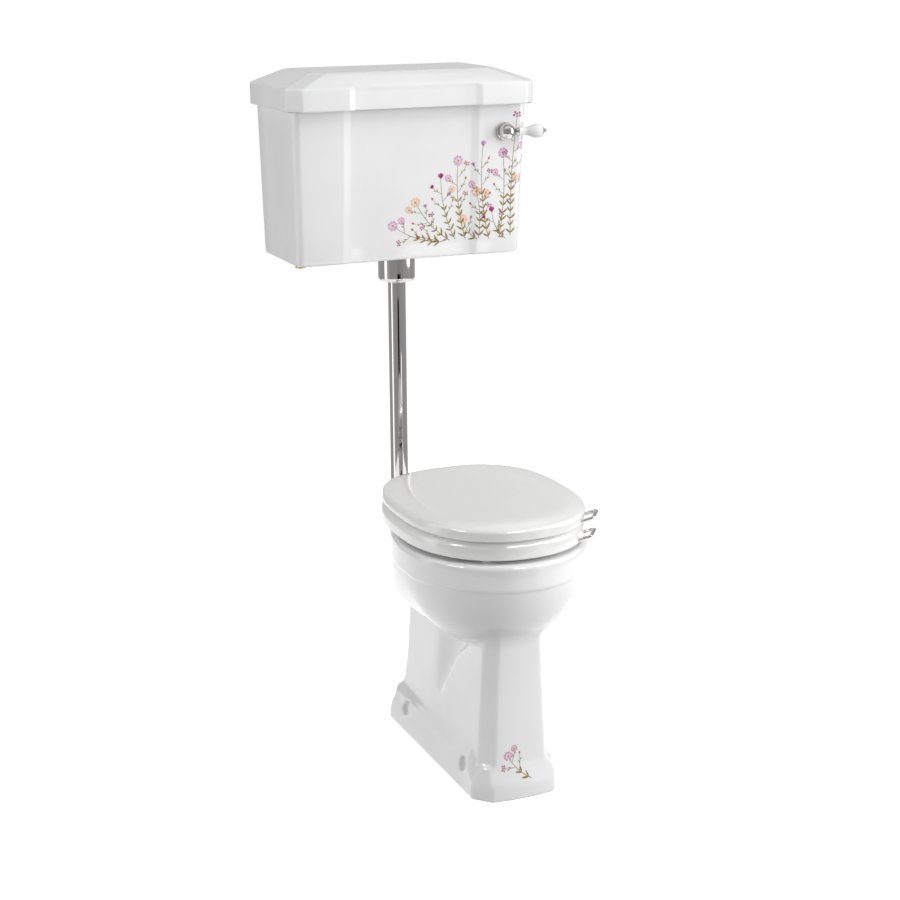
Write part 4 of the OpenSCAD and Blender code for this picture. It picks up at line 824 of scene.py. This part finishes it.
# ----------------------------------------
# The seat: a ring and a lid of solid wood under many coats of white gloss
# lacquer. Both outlines are full ovals, squarer at the back. The lid has a
# flat field inside a soft bevel, and both have well-rounded edges.


def gloss_lacquer():
    """White lacquer on wood: a little warmer and softer than the glaze, with faint brush-out waves."""
    material, tree, shader = new_material("gloss_lacquer", (0.84, 0.835, 0.825), 0.17,
                                          Coat_Weight=0.5, Coat_Roughness=0.12)
    place = add_node(tree, "TexCoord")
    stretch = add_node(tree, "Mapping", Scale=(9.0, 1.6, 9.0))
    wire(tree, (place.outputs["Object"], stretch.inputs["Vector"]))
    waves = pattern(tree, 5.0, at=stretch.outputs["Vector"])
    tinted(tree, shader, waves, (0.862, 0.857, 0.850), (0.892, 0.889, 0.883))
    bumped(tree, shader, waves, 0.03, 0.001)
    return material


lacquer = gloss_lacquer()
SEAT_STEPS = 160


def seat_outline(w, middle, front, back, nf, nb, z, inset, side=None):
    """A full oval, squarer where nf and nb are higher, drawn in by inset, or at the sides by side."""
    w -= inset if side is None else side
    points = []
    for i in range(SEAT_STEPS):
        t = 2 * math.pi * (i + 0.5) / SEAT_STEPS
        c, s = math.cos(t), math.sin(t)
        n, length = (nf, front) if s < 0 else (nb, back)
        points.append((w * math.copysign(abs(c) ** (2 / n), c),
                       middle + (length - inset) * math.copysign(abs(s) ** (2 / n), s), z))
    return points


(_, _, RING_Z), (_, _, RING_TOP) = box_mm("seat_ring")
(_, _, COVER_Z), _ = box_mm("seat_cover")
RING_R, RING_FOOT_R = 14.0, 4.0
COVER_R, COVER_FOOT_R, COVER_EDGE = 9.5, 3.5, 25.0


def ring_edge(inset, z):
    return seat_outline(181.0, -90.0, 212.0, 232.0, 2.15, 3.0, z, inset)


def ring_hole(grow, z):
    return seat_outline(112.0, -90.0, 150.0, 140.0, 2.1, 2.4, z, -grow)


ring_rings = [ring_edge(a, RING_Z + b) for a, b in rounding(RING_FOOT_R, 4)]
ring_rings += [ring_edge(b, RING_TOP - a) for a, b in rounding(RING_R, 8)]
ring_rings += [ring_hole(a, RING_TOP - b) for a, b in rounding(RING_R, 8)]
ring_rings += [ring_hole(b, RING_Z + a) for a, b in rounding(RING_FOOT_R, 4)]
ring_rings.append(ring_rings[0])
seat = skin("seat", ring_rings, closed=False)
work = bmesh.new()
work.from_mesh(seat.data)
bmesh.ops.remove_doubles(work, verts=work.verts, dist=1e-6)
bmesh.ops.recalc_face_normals(work, faces=work.faces)
work.to_mesh(seat.data)
work.free()
coat(seat, lacquer, 60)
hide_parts("seat_ring")
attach(seat, "ring")


def cover_edge(inset, z, side=None):
    return seat_outline(179.0, -78.0, 229.0, 222.0, 2.34, 2.8, COVER_Z + z, inset, side)


cover_rings = [cover_edge(a, b) for a, b in rounding(COVER_FOOT_R, 4)]
cover_rings.append(cover_edge(0, 9))
cover_rings += [cover_edge(b, COVER_EDGE - a) for a, b in rounding(COVER_R, 7, 78)]
# the bevel and the flat field: how far in at the sides, how far in front and behind, how high
cover_rings += [cover_edge(inset, z, side) for side, inset, z in (
    (14, 11, 26.0), (18, 12.5, 27.0), (22, 14.5, 27.9), (26, 16.5, 28.7), (30, 18.5, 29.4),
    (34, 20.5, 30.0), (38, 22.5, 30.5), (42, 25, 30.9), (46, 28, 31.2), (51, 32, 31.5),
    (58, 38, 31.8), (70, 52, 32.1), (110, 100, 32.6), (150, 170, 32.9))]
cover = skin("seat_lid", cover_rings)
coat(cover, lacquer, 60)
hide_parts("seat_cover")
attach(cover, "cover")

# ----------------------------------------
# The seat's fittings: a chrome bar through two pillars bolted to the deck,
# brackets that turn on it, buffers of white plastic, and a chrome lifting
# handle at the right front edge of the ring and of the lid.
dress(chrome, "hinge_pillars", "hinge_bar", "bar_ends", "ring_brackets", "cover_brackets",
      "ring_handle", "cover_handle")
dress(brass, "pillar_studs", "pillar_nuts", "ring_bracket_screws", "cover_bracket_screws")
dress(rubber, "pillar_washers")
dress(plastic, "ring_buffers", "cover_buffers")

# ----------------------------------------
# The flowers: enamel transfers fired onto the glaze, thinner than a third of a
# millimetre. Meadow stems rise from the foot of the tank towards its right
# end, and a small sprig stands on the left of the pan's foot.
FILM, KEYED = 0.25, 0.12  # over the glaze and into it
LONGEST, DEEPEST = 3.0, 8.0  # the longest edge, and how deep one shape may reach back
FACING = -0.35  # how squarely a surface has to face the front


def enamel(name, deep, light):
    """Fired colour under gloss: the brush leaves it a little uneven."""
    return finish(name, light, 0.16, (230.0, 3.0, deep, light, (0.38, 0.62)),
                  [(230.0, 3.0, 0.06, 0.0002)])


ENAMELS = {name: enamel("enamel_" + name, deep, light) for name, deep, light in (
    ("twig", (0.26, 0.18, 0.10), (0.42, 0.32, 0.19)),
    ("olive", (0.24, 0.18, 0.02), (0.40, 0.31, 0.05)),
    ("lilac", (0.62, 0.33, 0.55), (0.76, 0.50, 0.70)),
    ("coral", (0.68, 0.12, 0.14), (0.80, 0.26, 0.27)),
    ("magenta", (0.44, 0.04, 0.22), (0.60, 0.12, 0.36)),
    ("peach", (0.80, 0.48, 0.32), (0.86, 0.64, 0.48)),
    ("ochre", (0.60, 0.31, 0.05), (0.76, 0.48, 0.13)))}
PAINTS = list(ENAMELS)


def beyond(at, angle, reach):
    """The point that lies reach away from at."""
    return at[0] + reach * math.cos(angle), at[1] + reach * math.sin(angle)


class Transfer:
    """Flat shapes in a plane of (across, up), in millimetres, each with its enamel."""

    def __init__(self):
        self.shapes = []

    def shape(self, paint, points):
        self.shapes.append((paint, points))

    def petal(self, paint, at, angle, length, width, belly=0.55):
        """A rounded blade from a point outwards, widest at belly of its length."""
        dx, dz = math.cos(angle), math.sin(angle)
        left, right = [], []
        for i in range(1, 8):
            u = i / 8
            half = width / 2 * math.sin(math.pi * u ** (math.log(0.5) / math.log(belly)))
            p = (at[0] + dx * length * u, at[1] + dz * length * u)
            left.append((p[0] - dz * half, p[1] + dx * half))
            right.append((p[0] + dz * half, p[1] - dx * half))
        tip = (at[0] + dx * length, at[1] + dz * length)
        self.shape(paint, [tuple(at)] + right + [tip] + left[::-1])

    def disc(self, paint, at, r, steps=12):
        self.shape(paint, [beyond(at, 2 * math.pi * i / steps, r) for i in range(steps)])

    def ribbon(self, paint, line, start, end):
        """A stroke along a line, from one width to another."""
        left, right = [], []
        for i, p in enumerate(line):
            a, b = line[max(i - 1, 0)], line[min(i + 1, len(line) - 1)]
            length = math.hypot(b[0] - a[0], b[1] - a[1])
            nx, nz = -(b[1] - a[1]) / length, (b[0] - a[0]) / length
            half = (start + (end - start) * i / (len(line) - 1)) / 2
            left.append((p[0] + nx * half, p[1] + nz * half))
            right.append((p[0] - nx * half, p[1] - nz * half))
        for i in range(len(line) - 1):
            self.shape(paint, [right[i], right[i + 1], left[i + 1], left[i]])

    def daisy(self, paint, at, r, turn):
        for i in range(8):
            a = turn + 2 * math.pi * i / 8
            self.petal(paint, beyond(at, a, 0.22 * r), a, 0.78 * r, 0.58 * r, 0.68)
        self.disc("ochre", at, 0.24 * r)

    def bell(self, paint, at, r, angle):
        """A hanging bell seen from the side, with three points to its hem."""
        for spread, long in ((-0.42, 0.92), (0.0, 1.0), (0.42, 0.92)):
            self.petal(paint, at, angle + spread, 1.5 * r * long, 0.75 * r, 0.62)
        self.petal("olive", at, angle, 0.5 * r, 0.5 * r, 0.5)

    def bud(self, paint, at, r, angle):
        self.petal(paint, at, angle, 1.5 * r, 0.95 * r, 0.45)
        for side in (-0.5, 0.5):
            self.petal("olive", at, angle + side, 0.75 * r, 0.28 * r, 0.5)

    def berries(self, paint, at, r, angle):
        for spread, long in ((-1.0, 1.0), (-0.45, 1.45), (0.1, 1.0), (0.55, 1.5), (1.05, 1.05)):
            end = beyond(at, angle + spread, long * r)
            self.ribbon("twig", [at, end], 0.7, 0.6)
            self.disc(paint, end, 0.30 * r, 10)


def stroke(a, b, bow, steps):
    """A curved line from a to b that bends to its left by bow, and its heading at each point."""
    line, heading = [], []
    side = (-(b[1] - a[1]), b[0] - a[0])
    middle = ((a[0] + b[0]) / 2 + side[0] * bow, (a[1] + b[1]) / 2 + side[1] * bow)
    for i in range(steps + 1):
        u = i / steps
        line.append(tuple((1 - u) ** 2 * a[k] + 2 * u * (1 - u) * middle[k] + u * u * b[k]
                          for k in (0, 1)))
        d = [2 * (1 - u) * (middle[k] - a[k]) + 2 * u * (b[k] - middle[k]) for k in (0, 1)]
        heading.append(math.atan2(d[1], d[0]))
    return line, heading


def bloom(work, kind, paint, at, size, angle, turn):
    """A flower of a kind at the end of a stem that heads to angle."""
    if kind == "daisy":
        work.daisy(paint, at, size, turn)
    elif kind == "bell":
        work.bell(paint, at, size * 0.75, angle)
    elif kind == "bud":
        work.bud(paint, at, size * 0.6, angle)
    else:
        work.berries(paint, at, size * 0.7, angle)


def meadow_stem(work, draw, a, b, bow, flowers, twigs, size):
    """One stem with leaves in pairs, short side twigs, and a flower on each end."""
    steps = max(8, int(math.hypot(b[0] - a[0], b[1] - a[1]) / 5))
    line, heading = stroke(a, b, bow, steps)
    work.ribbon("twig", line, 1.7, 0.9)
    kind, paint = flowers[0]
    bloom(work, kind, paint, line[-1], size, heading[-1], draw.uniform(0, 1))
    leaf_at = 1
    while leaf_at < steps * 0.52:
        for side in (1, -1):
            long = draw.uniform(13, 19) * (1 - 0.35 * leaf_at / steps)
            work.petal("olive" if draw.random() < 0.6 else "twig", line[leaf_at],
                       heading[leaf_at] + side * draw.uniform(0.5, 0.85), long, long * 0.24, 0.45)
        leaf_at += 3
    for n in range(twigs):
        at = int(steps * (0.38 + 0.46 * (n + 0.5) / twigs))
        side = 1 if n % 2 else -1
        reach = draw.uniform(20, 32)
        angle = heading[at] + side * draw.uniform(0.65, 0.95)
        end = beyond(line[at], angle, reach)
        twig, facing = stroke(line[at], end, side * 0.14, 5)
        work.ribbon("twig", twig, 1.0, 0.7)
        work.petal("twig", twig[2], facing[2] - side * 0.6, 8, 1.9, 0.45)
        work.petal("twig", twig[3], facing[3] + side * 0.6, 7, 1.8, 0.45)
        kind, paint = flowers[(n + 1) % len(flowers)]
        bloom(work, kind, paint, end, size * 0.72, facing[-1], draw.uniform(0, 1))


def fire_on(name, work, carrier, start_y):
    """Lays the shapes on a piece, straight back from in front of it, as one thin film per shape."""
    graph = bpy.context.evaluated_depsgraph_get()
    surface = BVHTree.FromObject(carrier, graph)
    film = bmesh.new()
    for paint, points in work.shapes:
        centre = (sum(p[0] for p in points) / len(points), sum(p[1] for p in points) / len(points))
        outline = []
        for i, p in enumerate(points):
            q = points[(i + 1) % len(points)]
            cuts = max(1, math.ceil(math.hypot(q[0] - p[0], q[1] - p[1]) / LONGEST))
            outline += [(p[0] + (q[0] - p[0]) * k / cuts, p[1] + (q[1] - p[1]) * k / cuts)
                        for k in range(cuts)]
        landed = [surface.ray_cast(Vector((x, start_y, z)) * MM, Vector((0, 1, 0)))[:2]
                  for x, z in outline + [centre]]
        # what would run over an edge or a hole is trimmed away
        if any(normal is None or normal.y > FACING for _, normal in landed):
            continue
        depths = [hit.y for hit, _ in landed]
        if max(depths) - min(depths) > DEEPEST * MM:
            continue
        front = [film.verts.new(hit + normal * FILM * MM) for hit, normal in landed]
        back = [film.verts.new(hit - normal * KEYED * MM) for hit, normal in landed]
        count = len(outline)
        for i in range(count):
            j = (i + 1) % count
            for ring in ((front[i], front[j], front[-1]), (back[j], back[i], back[-1]),
                         (front[j], front[i], back[i], back[j])):
                film.faces.new(ring).material_index = PAINTS.index(paint)
    bmesh.ops.recalc_face_normals(film, faces=film.faces)
    mesh = bpy.data.meshes.new(name)
    film.to_mesh(mesh)
    film.free()
    piece = put(name, mesh)
    for paint in PAINTS:
        mesh.materials.append(ENAMELS[paint])
    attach(piece, "fixed")


draw = random.Random(11)
meadow = Transfer()
# each stem: its foot, its tip, how far it bends, the flowers on it and the number of side twigs
DAISY, PALE = ("daisy", "lilac"), ("daisy", "peach")
BELL, BUD, RED, GOLD = ("bell", "lilac"), ("bud", "coral"), ("berries", "coral"), ("bud", "ochre")
BERRY, ROSE = ("berries", "magenta"), ("bell", "magenta")
for a, b, bow, flowers, twigs in (
        ((70, 1010), (-40, 1050), 0.16, (DAISY, BUD, BERRY), 3),
        ((88, 1012), (10, 1096), 0.14, (PALE, BERRY, BUD, BELL), 4),
        ((100, 1014), (66, 1142), 0.12, (ROSE, GOLD, BUD, PALE), 4),
        ((124, 1012), (104, 1178), 0.10, (DAISY, RED, BELL, GOLD), 5),
        ((152, 1012), (146, 1112), -0.10, (PALE, BERRY, BUD), 3),
        ((176, 1010), (158, 1206), 0.09, (BELL, BUD, DAISY, BERRY), 5),
        ((200, 1012), (204, 1190), -0.07, (DAISY, GOLD, BUD, PALE), 5),
        ((226, 1014), (234, 1262), 0.04, (BERRY, DAISY, BUD, BELL), 6),
        ((64, 1008), (22, 1022), -0.12, (BUD, BERRY), 1),
        ((150, 1010), (118, 1054), 0.20, (PALE, BUD), 1),
        ((214, 1008), (182, 1066), 0.20, (ROSE, BERRY), 2)):
    meadow_stem(meadow, draw, a, b, bow, flowers, twigs, 11.5)
fire_on("cistern_flowers", meadow, tank, 200.0)
posy = Transfer()
meadow_stem(posy, draw, (16, 40), (-26, 86), 0.18, (DAISY, BUD, BERRY), 3, 10.5)
fire_on("foot_flowers", posy, pan, -400.0)

# ----------------------------------------
# Small lamps that only shine back from the glossy edges of the seat and the
# pan: they add a highlight to each rounded edge and leave the rest as it is.
glossy = bpy.data.collections.new("glossy_edges")
for piece in (pan, seat, cover):
    glossy.objects.link(piece)
for name, azimuth in (("glint_left", -67), ("glint_middle", 6), ("glint_right", 32)):
    glint = soft_light(name, azimuth, height=1.33, distance=1.68, width=0.5, tall=0.4, power=15.0,
                       aim_height=0.5)
    glint.visible_diffuse = False
    glint.visible_camera = False
    glint.light_linking.receiver_collection = glossy
